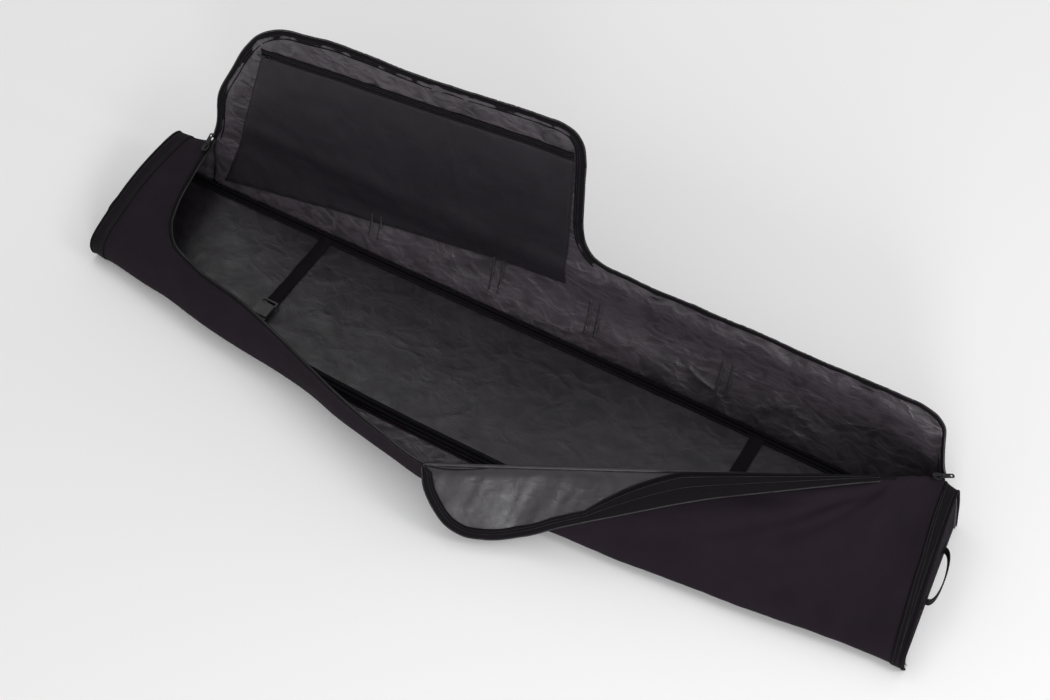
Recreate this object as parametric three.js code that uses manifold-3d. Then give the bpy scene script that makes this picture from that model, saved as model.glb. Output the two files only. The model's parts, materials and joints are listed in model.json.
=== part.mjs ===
// Snowboard bag, lying unzipped: the far flap stands up and the near flap is folded out.
// Millimetres. +Z is up, +X runs along the bag, and -Y is the near side. The floor is z = 0.
import * as THREE from "three";
import { mergeVertices } from "three/addons/utils/BufferGeometryUtils.js";
import Module from "manifold-3d";

const wasm = await Module();
wasm.setup();

// ---- driving dimensions ----
const END_X = 812; // outer face of each end, before the right one's slant
// The right end is out of square: how far it moves out, less a slope across the bag and a slope up it.
const SLANT_START = 765; // the slant grows from here to the end
const SLANT_OUT = 14;
const SLANT_ACROSS = 0.1;
const SLANT_UP = 0.18;
const BAND_WIDTH = 35; // webbing band round each end
const BAND_THICKNESS = 2;
const CLOTH = 1.5; // outer cloth
const FLAP_CLOTH = 2.5; // unpadded flap: two layers of cloth
const FOAM = 2.2; // foam sheet behind it
const LINING = 1.2; // coated lining
const GAP = 0.4; // clearance between stacked or adjoining pieces
const BASE_INSET = 8; // base panel edge to the foot of the walls
const TAPE_SHARE = 0.84; // share of the near wall's height below its zip tape
const FAR_TAPE_SHARE = 0.9; // the same for the far wall
const TAPE_WIDTH = 20;
const FOLD_Y = 188; // the far flap's outer face passes through this line, at its lean
const FOLD_Z = 168;
const FLAP_LEAN = THREE.MathUtils.degToRad(3); // the standing flap leans away from the bag
const FOLD_LEFT = [-735, 106]; // x and z of the slanting fold between the far wall and the far flap
const FOLD_RIGHT = [78, 186];
const FLAP_CLEARANCE = 5; // fold line to the flap's lower edge
const FLAP_RIGHT_X = 56; // straight drop of the S-shaped opening
const CREASE_START = new THREE.Vector3(20, -257, 105); // the near flap folds out over this line
const CREASE_END = new THREE.Vector3(700, 75, 150);
// Slope of the folded near flap, in degrees below level, against the distance along the crease.
const NEAR_FLAP_TILT = [[0, 50], [150, 50], [260, 39], [400, 28], [560, 20], [700, 16]];
const NEAR_FLAP_EDGE_GAP = 8; // crease to the flap's inner edge
const NEAR_FLAP_LIFT = 1.5; // wall to the flap lying on it
const LOOP_CENTRE_Y = 6; // middle of the loop handles
const PIPING_RADIUS = 3;
const WEBBING_WIDTH = 25;
const WEBBING_THICKNESS = 2;
const STRAP_X = 450; // inner hold-down straps, left and right
const HANDLE_X = 100; // carry-handle webbing, left and right
const RING_X = 360; // shoulder-strap rings, left and right

// ---- the bag's shape: sections across it, from the foot of a wall to its top ----
// Each near section: x, foot y, then (y, z) of the belly, the shoulder and the top edge.
const NEAR_SECTIONS = [
  [-812, -100, [-112, 20], [-111, 38], [-100, 52]],
  [-777, -104, [-117, 22], [-114, 44], [-98, 61]],
  [-735, -109, [-124, 24], [-117, 52], [-95, 72]],
  [-690, -115, [-132, 28], [-121, 62], [-93, 84]],
  [-662, -118, [-137, 30], [-123, 68], [-91, 92]],
  [-627, -122, [-142, 32], [-126, 74], [-89, 100]],
  [-548, -131, [-155, 34], [-139, 78], [-111, 103]],
  [-451, -144, [-168, 32], [-153, 74], [-129, 104]],
  [-360, -152, [-178, 30], [-173, 70], [-155, 104]],
  [-283, -157, [-186, 27], [-192, 66], [-180, 103]],
  [-178, -161, [-203, 21], [-222, 58], [-213, 100]],
  [-80, -163, [-214, 18], [-240, 54], [-238, 101]],
  [6, -163, [-221, 16], [-251, 52], [-254, 104]],
  [20, -163, [-222, 16], [-253, 52], [-257, 105]],
  [160, -163, [-224, 16], [-232, 48], [-189, 114]],
  [285, -162, [-214, 18], [-192, 66], [-128, 122]],
  [420, -160, [-202, 18], [-156, 74], [-62, 131]],
  [560, -157, [-188, 18], [-126, 78], [7, 141]],
  [640, -155, [-176, 18], [-108, 78], [46, 146]],
  [700, -153, [-168, 18], [-90, 78], [75, 150]],
  [735, -151, [-163, 18], [-80, 70], [117, 127]],
  [765, -150, [-160, 17], [-72, 60], [147, 104]],
  [777, -149, [-158, 17], [-70, 58], [145, 102]],
  [812, -147, [-154, 16], [-70, 54], [141, 98]],
];
/** Height of the fold at x, from FOLD_Z. */
const foldHeight = (x) =>
  THREE.MathUtils.mapLinear(x, FOLD_LEFT[0], FOLD_RIGHT[0], FOLD_LEFT[1], FOLD_RIGHT[1]) - FOLD_Z;
/** Top edge (y, z) of the far wall, just under the fold. */
function foldEdge(x) {
  const height = foldHeight(x) - FLAP_CLEARANCE;
  return [FOLD_Y + height * Math.tan(FLAP_LEAN), FOLD_Z + height];
}
// Each far section: x, foot y, then (y, z) of the middle and the top edge.
const FAR_SECTIONS = [
  [-812, 158, [170, 50], [174, 95]],
  [-777, 158, [171, 52], [176, 98]],
  [-735, 157, [174, 55], [180, 101]],
  [-690, 156, [176, 56], foldEdge(-690)],
  [-640, 156, [177, 58], foldEdge(-640)],
  [-400, 156, [178, 70], foldEdge(-400)],
  [-170, 156, [178, 76], foldEdge(-170)],
  [62, 156, [178, 80], foldEdge(62)],
  [78, 156, [178, 80], [189, 181]],
  [105, 156, [178, 84], [190, 203]],
  [300, 155, [178, 84], [191, 205]],
  [500, 153, [178, 84], [191, 205]],
  [690, 151, [176, 84], [190, 205]],
  [735, 149, [174, 70], [188, 184]],
  [765, 147, [160, 50], [154, 106]],
  [777, 146, [156, 50], [151, 104]],
  [812, 144, [152, 50], [147, 100]],
];
// Free edge of the far flap: x, and height along the flap from FOLD_Z.
const FAR_FLAP_EDGE = [
  [-718, foldHeight(-718) + FLAP_CLEARANCE], [-702, 55], [-664, 128], [-624, 198], [-588, 240],
  [-545, 266], [-484, 279], [-225, 295], [-20, 316], [20, 319], [42, 311], [53, 290], [FLAP_RIGHT_X, 258],
  [FLAP_RIGHT_X, foldHeight(FLAP_RIGHT_X) + FLAP_CLEARANCE],
];
// Free edge of the near flap: distance along the crease, and width beyond it.
const NEAR_FLAP_EDGE = [
  [2, 30], [20, 74], [38, 98], [62, 113], [100, 119], [166, 111], [224, 93], [338, 66], [451, 43],
  [547, 30],
];
// Left end of the opening, from its near corner to its far corner.
const LEFT_ZIP_LINE = [
  [-627, -89, 100], [-664, -52, 100], [-690, 0, 101], [-712, 80, 103], [-730, 171, 106],
];

// ---- materials ----
const material = (color, roughness, metalness = 0) =>
  new THREE.MeshStandardMaterial({ color, roughness, metalness });
const outerCloth = material(0x1e1a1e, 0.92);
const liningCloth = material(0x3a383c, 0.5);
const pocketCloth = material(0x17161a, 0.85);
const foamSheet = material(0x55565a, 0.95);
const webbing = material(0x151417, 0.8);
const zipTape = material(0x121114, 0.75);
const plastic = material(0x101012, 0.35);
const metal = material(0x2a2a2c, 0.35, 0.8);

const bag = new THREE.Group();

/** Adds a named piece; frame, if given, places the piece's own axes in the bag. */
/** Slants the closed right end: its near foot lies furthest out and its far top furthest in. */
function slantEnd(geometry) {
  const points = geometry.getAttribute("position");
  for (let i = 0; i < points.count; i += 1) {
    const share = THREE.MathUtils.clamp((points.getX(i) - SLANT_START) / (END_X - SLANT_START), 0, 1);
    const shift = SLANT_OUT - SLANT_ACROSS * points.getY(i) - SLANT_UP * points.getZ(i);
    points.setX(i, points.getX(i) + share * shift);
  }
  return geometry;
}

/** Adds a piece: cloth follows the slanted end, and hardware is placed by a frame. */
function add(name, geometry, look, frame) {
  const mesh = new THREE.Mesh(frame ? geometry : slantEnd(geometry), look);
  mesh.name = name;
  if (frame) {
    mesh.applyMatrix4(frame);
  }
  bag.add(mesh);
}

// ---- plates: closed solids between two offsets of a curved grid ----

const lerp = THREE.MathUtils.lerp;

/** Interpolates a table of sections at x: returns the section's points [y, z]. */
function sectionAt(sections, x) {
  let i = 0;
  while (i < sections.length - 2 && x > sections[i + 1][0]) i += 1;
  const [a, b] = [sections[i], sections[i + 1]];
  const t = (x - a[0]) / (b[0] - a[0]);
  const foot = [[lerp(a[1], b[1], t), 0]];
  return foot.concat(a.slice(2).map((p, k) => p.map((value, axis) => lerp(value, b[k + 2][axis], t))));
}

/** Point at share t of a smooth curve through a section. */
function wallPoint(sections, x, t) {
  const points = sectionAt(sections, x).map(([y, z]) => new THREE.Vector3(x, y, z));
  return new THREE.CatmullRomCurve3(points).getPoint(t);
}

const between = (from, to, count) => Array.from({ length: count + 1 }, (_, i) => lerp(from, to, i / count));

/** Unit normals of a grid of points: along rows crossed with across rows. */
function gridNormals(rows) {
  const clampRow = (i) => rows[Math.min(Math.max(i, 0), rows.length - 1)];
  return rows.map((row, i) =>
    row.map((_, j) => {
      const low = Math.max(j - 1, 0);
      const high = Math.min(j + 1, row.length - 1);
      const along = clampRow(i + 1)[j].clone().sub(clampRow(i - 1)[j]);
      const across = row[high].clone().sub(row[low]);
      return along.cross(across).normalize();
    }),
  );
}

/** Closed solid between offsets near and far of a grid, measured along its normals, kept above the floor. */
function plate(rows, near, far) {
  const normals = gridNormals(rows);
  const [m, n] = [rows.length, rows[0].length];
  const positions = [];
  for (const offset of [near, far]) {
    rows.forEach((row, i) =>
      row.forEach((point, j) => {
        const moved = point.clone().addScaledVector(normals[i][j], offset);
        positions.push(moved.x, moved.y, Math.max(moved.z, 0));
      }),
    );
  }
  const index = [];
  const quad = (a, b, c, d) => index.push(a, b, c, a, c, d);
  const at = (i, j, side) => side * m * n + i * n + j;
  for (let i = 0; i < m - 1; i += 1) {
    for (let j = 0; j < n - 1; j += 1) {
      quad(at(i, j, 0), at(i, j + 1, 0), at(i + 1, j + 1, 0), at(i + 1, j, 0));
      quad(at(i, j, 1), at(i + 1, j, 1), at(i + 1, j + 1, 1), at(i, j + 1, 1));
    }
    quad(at(i, 0, 0), at(i + 1, 0, 0), at(i + 1, 0, 1), at(i, 0, 1));
    quad(at(i, n - 1, 0), at(i, n - 1, 1), at(i + 1, n - 1, 1), at(i + 1, n - 1, 0));
  }
  for (let j = 0; j < n - 1; j += 1) {
    quad(at(0, j, 0), at(0, j, 1), at(0, j + 1, 1), at(0, j + 1, 0));
    quad(at(m - 1, j, 0), at(m - 1, j + 1, 0), at(m - 1, j + 1, 1), at(m - 1, j, 1));
  }
  const geometry = new THREE.BufferGeometry();
  geometry.setAttribute("position", new THREE.Float32BufferAttribute(positions, 3));
  geometry.setIndex(index);
  return facingOut(geometry);
}

/** Turns the faces round if the solid is inside out. */
function facingOut(geometry) {
  const { array } = geometry.index;
  const corner = (k) => new THREE.Vector3().fromBufferAttribute(geometry.attributes.position, array[k]);
  let volume = 0;
  for (let k = 0; k < array.length; k += 3) volume += corner(k).dot(corner(k + 1).cross(corner(k + 2)));
  if (volume < 0) {
    for (let k = 0; k < array.length; k += 3) [array[k + 1], array[k + 2]] = [array[k + 2], array[k + 1]];
  }
  return geometry;
}

/** Flat outline [[a, b], ...] extruded from depth low to high. */
function slab(outline, low, high) {
  const shape = new THREE.Shape(outline.map(([a, b]) => new THREE.Vector2(a, b)));
  const geometry = new THREE.ExtrudeGeometry(shape, { depth: high - low, bevelEnabled: false });
  return geometry.translate(0, 0, low);
}

/** Moves a path sideways by distance, to the left of its direction. */
function offsetPath(path, distance) {
  return path.map((p, i) => {
    const before = path[Math.max(i - 1, 0)];
    const after = path[Math.min(i + 1, path.length - 1)];
    const dir = new THREE.Vector2(after[0] - before[0], after[1] - before[1]).normalize();
    return [p[0] - dir.y * distance, p[1] + dir.x * distance];
  });
}

/** Flat ribbon that follows a path, between two sideways offsets. */
const ribbon = (path, near, far) => [...offsetPath(path, near), ...offsetPath(path, far).reverse()];

/** Frame whose x, y and z axes are the given directions, at an origin. */
const frameAt = (origin, x, y, z) => new THREE.Matrix4().makeBasis(x, y, z).setPosition(origin);

const box = (width, depth, height, x, y, z) =>
  new THREE.BoxGeometry(width, depth, height).translate(x, y, z);

function toSolid(geometry) {
  const bare = new THREE.BufferGeometry();
  bare.setAttribute("position", geometry.attributes.position);
  if (geometry.index) bare.setIndex(geometry.index);
  const merged = mergeVertices(bare, 1e-4);
  return new wasm.Manifold(
    new wasm.Mesh({
      numProp: 3,
      vertProperties: new Float32Array(merged.attributes.position.array),
      triVerts: new Uint32Array(merged.index.array),
    }),
  );
}

function toGeometry(solid) {
  const mesh = solid.getMesh();
  const geometry = new THREE.BufferGeometry();
  geometry.setAttribute("position", new THREE.Float32BufferAttribute(mesh.vertProperties, 3));
  geometry.setIndex(new THREE.Uint32BufferAttribute(mesh.triVerts, 1));
  return geometry;
}

const joined = (...pieces) => pieces.map(toSolid).reduce((a, b) => a.add(b));

// ---- base: outer cloth, foam sheet and lining, stacked ----

function baseGrid(inset) {
  const edge = NEAR_SECTIONS.filter(([x]) => Math.abs(x) < END_X && Math.abs(x) !== END_X - BAND_WIDTH);
  const columns = [-END_X + inset, ...edge.map(([x]) => x), END_X - inset];
  return columns.map((x) => {
    const nearFoot = sectionAt(NEAR_SECTIONS, x)[0][0];
    const farFoot = sectionAt(FAR_SECTIONS, x)[0][0];
    return [new THREE.Vector3(x, nearFoot + inset, 0), new THREE.Vector3(x, farFoot - inset, 0)];
  });
}

const BASE_STACK = [
  ["base_panel", CLOTH + 1, outerCloth],
  ["base_foam", 4, foamSheet],
  ["base_lining", LINING, liningCloth],
];
let baseTop = 0;
for (const [name, thickness, look] of BASE_STACK) {
  add(name, plate(baseGrid(BASE_INSET), baseTop, baseTop + thickness), look);
  baseTop += thickness + GAP;
}

// ---- walls ----

const nearXs = NEAR_SECTIONS.map(([x]) => x);
const zipStart = LEFT_ZIP_LINE[0][0];
const isZipEdge = (x) => x >= zipStart && x < CREASE_START.x;
const nearTopShare = (x) => (isZipEdge(x) ? TAPE_SHARE : 1);

/** Grid of wall points: rows along x, points up the height; inner layers skip the foot. */
function wallGrid(sections, xs, topShare, steps, skip) {
  return xs.map((x) => between(0, topShare(x), steps).slice(skip).map((t) => wallPoint(sections, x, t)));
}

const FOAM_DEPTH = CLOTH + GAP;
const LINING_DEPTH = FOAM_DEPTH + FOAM + GAP;
const layers = [
  ["", 0, CLOTH, outerCloth],
  ["_foam", FOAM_DEPTH, FOAM_DEPTH + FOAM, foamSheet],
  ["_lining", LINING_DEPTH, LINING_DEPTH + LINING, liningCloth],
];
const innerXs = (xs) => xs.filter((x) => Math.abs(x) < END_X - 1);

const farXs = FAR_SECTIONS.map(([x]) => x);
const isFarZip = (x) => x > 100 && x < 740;
const farTopShare = (x) => (isFarZip(x) ? FAR_TAPE_SHARE : 1);
for (const [suffix, low, high, look] of layers) {
  const skip = suffix ? 1 : 0;
  const columns = (xs) => (suffix ? innerXs(xs) : xs);
  const nearGrid = wallGrid(NEAR_SECTIONS, columns(nearXs), nearTopShare, 6, skip);
  add(`near_wall${suffix}`, plate(nearGrid, -low, -high), look);
  const farGrid = wallGrid(FAR_SECTIONS, columns(farXs), farTopShare, 5, skip);
  add(`far_wall${suffix}`, plate(farGrid, low, high), look);
}

// ---- left top cap: from the end to the left end of the opening ----

const zipLine = new THREE.CatmullRomCurve3(LEFT_ZIP_LINE.map((p) => new THREE.Vector3(...p)));
const capNear = new THREE.Vector3(-END_X, -99, 53);
const capFar = new THREE.Vector3(-END_X, 173, 96);

/** Point on the cap: u from the bag's end to the zip, v from the near side to the far side. */
function capPoint(u, v) {
  const atEnd = capNear.clone().lerp(capFar, v);
  atEnd.z += 14 * Math.sin(Math.PI * v);
  return atEnd.lerp(zipLine.getPoint(v), u);
}
const CAP_TAPE_SHARE = 0.86;
const CAP_ROWS = between(0.012, 0.985, 6);
const capGrid = (from, to) => between(from, to, 4).map((u) => CAP_ROWS.map((v) => capPoint(u, v)));
add("left_top_cap", plate(capGrid(0, CAP_TAPE_SHARE), 0, -CLOTH), outerCloth);
const capDepth = CLOTH + GAP;
const capLining = plate(capGrid(0.05, CAP_TAPE_SHARE - 0.02), -capDepth, -capDepth - LINING);
add("left_cap_lining", capLining, liningCloth);

// ---- main zip tapes: one per free edge of the opening ----

const TAPE_GAP = 0.012;
const nearTapeEdge = [
  ...between(0.985, 0.02, 5).map((v) => [capPoint(CAP_TAPE_SHARE + TAPE_GAP, v), capPoint(1, v)]),
  ...nearXs.filter(isZipEdge).map((x) => [
    wallPoint(NEAR_SECTIONS, x, TAPE_SHARE + TAPE_GAP),
    wallPoint(NEAR_SECTIONS, x, 1),
  ]),
];
add("zip_tape_near_wall", plate(nearTapeEdge, 0, -CLOTH), zipTape);

const farTapeXs = farXs.filter(isFarZip);
const farTapeEdge = farTapeXs.map((x) => [
  wallPoint(FAR_SECTIONS, x, FAR_TAPE_SHARE + TAPE_GAP),
  wallPoint(FAR_SECTIONS, x, 1),
]);
add("zip_tape_far_wall", plate(farTapeEdge, 0, CLOTH), zipTape);

// ---- far flap: stands on the fold line; local x along the bag, y up the flap, z towards the outside ----

const farFlapFrame = frameAt(
  new THREE.Vector3(0, FOLD_Y, FOLD_Z),
  new THREE.Vector3(1, 0, 0),
  new THREE.Vector3(0, Math.sin(FLAP_LEAN), Math.cos(FLAP_LEAN)),
  new THREE.Vector3(0, -Math.cos(FLAP_LEAN), Math.sin(FLAP_LEAN)),
);

const flapInset = offsetPath(FAR_FLAP_EDGE, -TAPE_WIDTH);
const keepAbove = (path, low) => path.map(([x, height]) => [x, Math.max(height, foldHeight(x) + low)]);
const farFlapOutline = keepAbove(offsetPath(FAR_FLAP_EDGE, -TAPE_WIDTH - GAP), FLAP_CLEARANCE);
add("far_flap", slab(farFlapOutline, 0, FLAP_CLOTH), outerCloth, farFlapFrame);
const farLiningOutline = keepAbove(offsetPath(farFlapOutline, -2), FLAP_CLEARANCE + 2);
const farLining = slab(farLiningOutline, FLAP_CLOTH + GAP, FLAP_CLOTH + GAP + LINING);
add("far_flap_lining", farLining, liningCloth, farFlapFrame);
const farTapeOutline = [...FAR_FLAP_EDGE, ...keepAbove(flapInset, FLAP_CLEARANCE).reverse()];
add("zip_tape_far_flap", slab(farTapeOutline, 0, FLAP_CLOTH), zipTape, farFlapFrame);

// flat zipped pocket on the flap's inner face
const POCKET_LEFT_X = -590;
const POCKET_RIGHT_X = 28;
const POCKET_LEFT_TOP = 190;
const POCKET_RIGHT_TOP = 250;
const POCKET_BOTTOM = 10; // above the fold
const POCKET_ZIP_WIDTH = 16;
const pocketDepth = FLAP_CLOTH + GAP + LINING + GAP;
const POCKET_SKEW = 55; // the lower left corner of the pocket reaches this far past the upper one
const POCKET_DRAFT = 12; // the lower right corner stops this far short of the upper one
const pocketOutline = [
  [POCKET_LEFT_X - POCKET_SKEW, foldHeight(POCKET_LEFT_X - POCKET_SKEW) + POCKET_BOTTOM],
  [POCKET_RIGHT_X - POCKET_DRAFT, foldHeight(POCKET_RIGHT_X) + POCKET_BOTTOM],
  [POCKET_RIGHT_X, POCKET_RIGHT_TOP], [POCKET_LEFT_X, POCKET_LEFT_TOP],
];
add("pocket_panel", slab(pocketOutline, pocketDepth, pocketDepth + LINING), pocketCloth, farFlapFrame);
const pocketZipPath = [
  [POCKET_LEFT_X, POCKET_LEFT_TOP + GAP], [POCKET_RIGHT_X, POCKET_RIGHT_TOP + GAP],
];
const pocketZip = slab(ribbon(pocketZipPath, 0, POCKET_ZIP_WIDTH), pocketDepth, pocketDepth + LINING);
add("pocket_zip", pocketZip, zipTape, farFlapFrame);

// ---- zip sliders and pulls, drawn at slider size 1 ----

const SLIDER_BODY = [[-8, -4], [-3, -5.5], [4, -5.5], [9, -3], [9, 3], [4, 5.5], [-3, 5.5], [-8, 4]];
const SLIDER_THICKNESS = 2.4;
const SLIDER_BRIDGE = [[-6, 2], [-5, 5.2], [4, 5.2], [7, 2], [5, 2], [3, 3.9], [-3.4, 3.9], [-4, 2]];
const SLIDER_BRIDGE_WIDTH = 2.4;
const PULL_X = -1.8; // pivot of a pull on its slider
const PULL_Z = 2.65;
const PULL_THICKNESS = 1.1;

/** Zip slider: a waisted body with a bridge over its middle, lying on z = 0 with its nose towards +x. */
function sliderGeometry(size) {
  const scaled = (points) => points.map(([x, y]) => [x * size, y * size]);
  const width = SLIDER_BRIDGE_WIDTH * size;
  const body = slab(scaled(SLIDER_BODY), 0, SLIDER_THICKNESS * size);
  const bridge = slab(scaled(SLIDER_BRIDGE), 0, width).rotateX(Math.PI / 2).translate(0, width / 2, 0);
  return toGeometry(joined(body, bridge));
}

/** Pull tab: its ring goes round the bridge's rear leg, and its grip runs along -x from the pivot. */
function pullGeometry(length, size) {
  const scaled = (points) => points.map(([x, y]) => new THREE.Vector2(x * size, y * size));
  const grip = -length / size;
  const shape = new THREE.Shape(scaled([
    [0.6, -3.2], [0.6, 3.2], [-7, 3.6], [grip + 2, 3.2], [grip, 0], [grip + 2, -3.2], [-7, -3.6],
  ]));
  shape.holes.push(new THREE.Path(scaled([[-0.5, -1.9], [-5.8, -1.9], [-5.8, 1.9], [-0.5, 1.9]])));
  shape.holes.push(new THREE.Path(scaled([
    [grip + 8, -1.2], [grip + 4, -1.2], [grip + 4, 1.2], [grip + 8, 1.2],
  ])));
  return new THREE.ExtrudeGeometry(shape, { depth: PULL_THICKNESS * size, bevelEnabled: false });
}

/** Adds a slider and its pull; the slider's frame has +x along its travel and +z away from the zip. */
function addSlider(sliderName, pullName, sliderFrame, size, pullLength) {
  add(sliderName, sliderGeometry(size), metal, sliderFrame);
  const pullFrame = sliderFrame.clone().multiply(
    new THREE.Matrix4().makeTranslation(PULL_X * size, 0, PULL_Z * size));
  add(pullName, pullGeometry(pullLength, size), metal, pullFrame);
}

// ---- pocket slider ----

const pocketDirection = new THREE.Vector2(
  POCKET_RIGHT_X - POCKET_LEFT_X, POCKET_RIGHT_TOP - POCKET_LEFT_TOP,
).normalize();
const pocketSliderFrame = new THREE.Matrix4()
  .makeRotationZ(pocketDirection.angle())
  .setPosition(POCKET_LEFT_X + 14, POCKET_LEFT_TOP + POCKET_ZIP_WIDTH / 2 + 1.7, pocketDepth + LINING + GAP);
addSlider("pocket_slider", "pocket_pull", farFlapFrame.clone().multiply(pocketSliderFrame), 0.8, 22);

// ---- near flap: folded out over the crease, and lying on the wall ----

const creaseAxis = CREASE_END.clone().sub(CREASE_START).normalize();
const outwards = new THREE.Vector3(creaseAxis.y, -creaseAxis.x, 0).normalize();
const downwards = creaseAxis.clone().cross(outwards).normalize();

/** Value at x of a table of [x, value] pairs. */
function tableAt(table, x) {
  let i = 0;
  while (i < table.length - 2 && x > table[i + 1][0]) i += 1;
  const [[x0, v0], [x1, v1]] = [table[i], table[i + 1]];
  return lerp(v0, v1, THREE.MathUtils.clamp((x - x0) / (x1 - x0), 0, 1));
}

/** Point on the near flap: a distance along the crease, and a width across the flap from the crease. */
function nearFlapPoint(along, width) {
  const tilt = THREE.MathUtils.degToRad(tableAt(NEAR_FLAP_TILT, along));
  return CREASE_START.clone()
    .addScaledVector(creaseAxis, along)
    .addScaledVector(outwards, width * Math.cos(tilt))
    .addScaledVector(downwards, width * Math.sin(tilt));
}

const flapSpan = ([along, low, high]) => between(low, high, 4).map((width) => nearFlapPoint(along, width));
const flapTapeInner = (width) => Math.max(width - TAPE_WIDTH, NEAR_FLAP_EDGE_GAP);
const clothSpans = NEAR_FLAP_EDGE.filter(([, width]) => width > NEAR_FLAP_EDGE_GAP + TAPE_WIDTH + 2)
  .map(([along, width]) => [along, NEAR_FLAP_EDGE_GAP, width - TAPE_WIDTH - GAP]);
const clothGrid = clothSpans.map(flapSpan);
const stack = NEAR_FLAP_LIFT + CLOTH + GAP;
add("near_flap", plate(clothGrid, -NEAR_FLAP_LIFT, -NEAR_FLAP_LIFT - CLOTH), outerCloth);
add("near_flap_lining", plate(clothGrid, -stack, -stack - LINING), liningCloth);
const flapTapeGrid = NEAR_FLAP_EDGE.map(([along, width]) => [
  nearFlapPoint(along, flapTapeInner(width)), nearFlapPoint(along, width),
]);
add("zip_tape_near_flap", plate(flapTapeGrid, -NEAR_FLAP_LIFT, -NEAR_FLAP_LIFT - CLOTH - 1), zipTape);

// ---- ends: panel, webbing band and loop handle ----

const PANEL_INSET = 4.5; // wall to the end panel's edge
const PANEL_THICKNESS = 2;

/** Points on the cap at a given x. */
function capPointAtX(x, v) {
  return capPoint((x + END_X) / (zipLine.getPoint(v).x + END_X), v);
}

/** Outline of the bag across an end: up the near wall, over the top and down the far wall. */
function endOutline(x) {
  const nearSide = between(0, 1, 6).map((t) => wallPoint(NEAR_SECTIONS, x, t));
  const top = x < 0 ? CAP_ROWS.map((v) => capPointAtX(x, v)) : [];
  const farSide = between(1, 0, 5).map((t) => wallPoint(FAR_SECTIONS, x, t));
  return [...nearSide, ...top, ...farSide];
}

for (const [name, side] of [["left", -1], ["right", 1]]) {
  const columns = [END_X - BAND_WIDTH, END_X].map((x) => x * side).sort((a, b) => a - b);
  add(`end_band_${name}`, plate(columns.map(endOutline), 3 * GAP, 3 * GAP + BAND_THICKNESS), webbing);
  const outline = offsetPath(endOutline(END_X * side).map((p) => [p.y, p.z]), -PANEL_INSET);
  const low = side > 0 ? END_X - PANEL_THICKNESS : -END_X;
  const faceFrame = frameAt(new THREE.Vector3(low, 0, 0), new THREE.Vector3(0, 1, 0),
    new THREE.Vector3(0, 0, 1), new THREE.Vector3(1, 0, 0));
  const panelOutline = outline.map(([y, z]) => [y, Math.max(z, 0)]);
  add(`end_panel_${name}`, slab(panelOutline, 0, PANEL_THICKNESS).applyMatrix4(faceFrame), outerCloth);
}

const LOOP_HALF_SPAN = 52;
const LOOP_REACH = 16; // how far a loop handle stands off the end
const LOOP_LOW = 38; // lower and upper edge of the loop's webbing
const LOOP_HIGH = 58;
for (const [name, side] of [["left", -1], ["right", 1]]) {
  const path = between(0, Math.PI, 12).map((angle) => [
    LOOP_CENTRE_Y - side * LOOP_HALF_SPAN * Math.cos(angle),
    side * (END_X + 1 + LOOP_REACH * Math.sin(angle) ** 0.7),
  ]);
  const loopFrame = frameAt(new THREE.Vector3(0, 0, LOOP_HIGH), new THREE.Vector3(0, 1, 0),
    new THREE.Vector3(1, 0, 0), new THREE.Vector3(0, 0, -1));
  const strip = slab(ribbon(path, 0, WEBBING_THICKNESS), 0, LOOP_HIGH - LOOP_LOW);
  add(`end_handle_${name}`, strip.applyMatrix4(loopFrame), webbing);
}

// ---- piping along the floor seams ----

const PIPING_INSET = 12;
const pipingXs = NEAR_SECTIONS.map(([x]) => x).filter((x) => Math.abs(x) < END_X - 10);
const pipingSection = new THREE.Shape(between(0, 5, 5).map((k) => new THREE.Vector2(
  PIPING_RADIUS * Math.cos((k * Math.PI) / 3), PIPING_RADIUS * Math.sin((k * Math.PI) / 3))));
for (const [name, sections, inward] of [["near", NEAR_SECTIONS, 1], ["far", FAR_SECTIONS, -1]]) {
  const points = pipingXs.map((x) => new THREE.Vector3(
    x, sectionAt(sections, x)[0][0] + inward * PIPING_INSET, baseTop + PIPING_RADIUS));
  add(`floor_piping_${name}`, new THREE.ExtrudeGeometry(pipingSection, {
    steps: 20, extrudePath: new THREE.CatmullRomCurve3(points) }), zipTape);
}

// ---- outside of the far wall: webbing, carry handle and shoulder-strap rings ----

const WEBBING_FOOT = 0.06; // shares of the far wall's height
const WEBBING_TOP = 0.62;
const HINGE_Y = 191.5;
const HINGE_Z = 106;
for (const [name, x] of [
  ["ring_webbing_left", -RING_X], ["handle_webbing_left", -HANDLE_X],
  ["handle_webbing_right", HANDLE_X], ["ring_webbing_right", RING_X],
]) {
  const columns = [x - WEBBING_WIDTH / 2, x + WEBBING_WIDTH / 2];
  const heights = between(WEBBING_FOOT, WEBBING_TOP, 5);
  const grid = columns.map((column) => heights.map((t) => wallPoint(FAR_SECTIONS, column, t)));
  add(name, plate(grid, -GAP * 2, -GAP * 2 - WEBBING_THICKNESS), webbing);
}

const HANDLE_DROP = 84;
const handlePath = [
  [-HANDLE_X, -3], [-94, -44], [-72, -72], [-40, -HANDLE_DROP], [40, -HANDLE_DROP], [72, -72], [94, -44],
  [HANDLE_X, -3],
];
const hangFrame = frameAt(new THREE.Vector3(0, HINGE_Y + WEBBING_THICKNESS / 2, HINGE_Z),
  new THREE.Vector3(1, 0, 0), new THREE.Vector3(0, 0, 1), new THREE.Vector3(0, -1, 0));
const handleStrip = slab(ribbon(handlePath, -WEBBING_WIDTH / 2, WEBBING_WIDTH / 2), 0, WEBBING_THICKNESS);
add("carry_handle", handleStrip, webbing, hangFrame);

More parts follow.
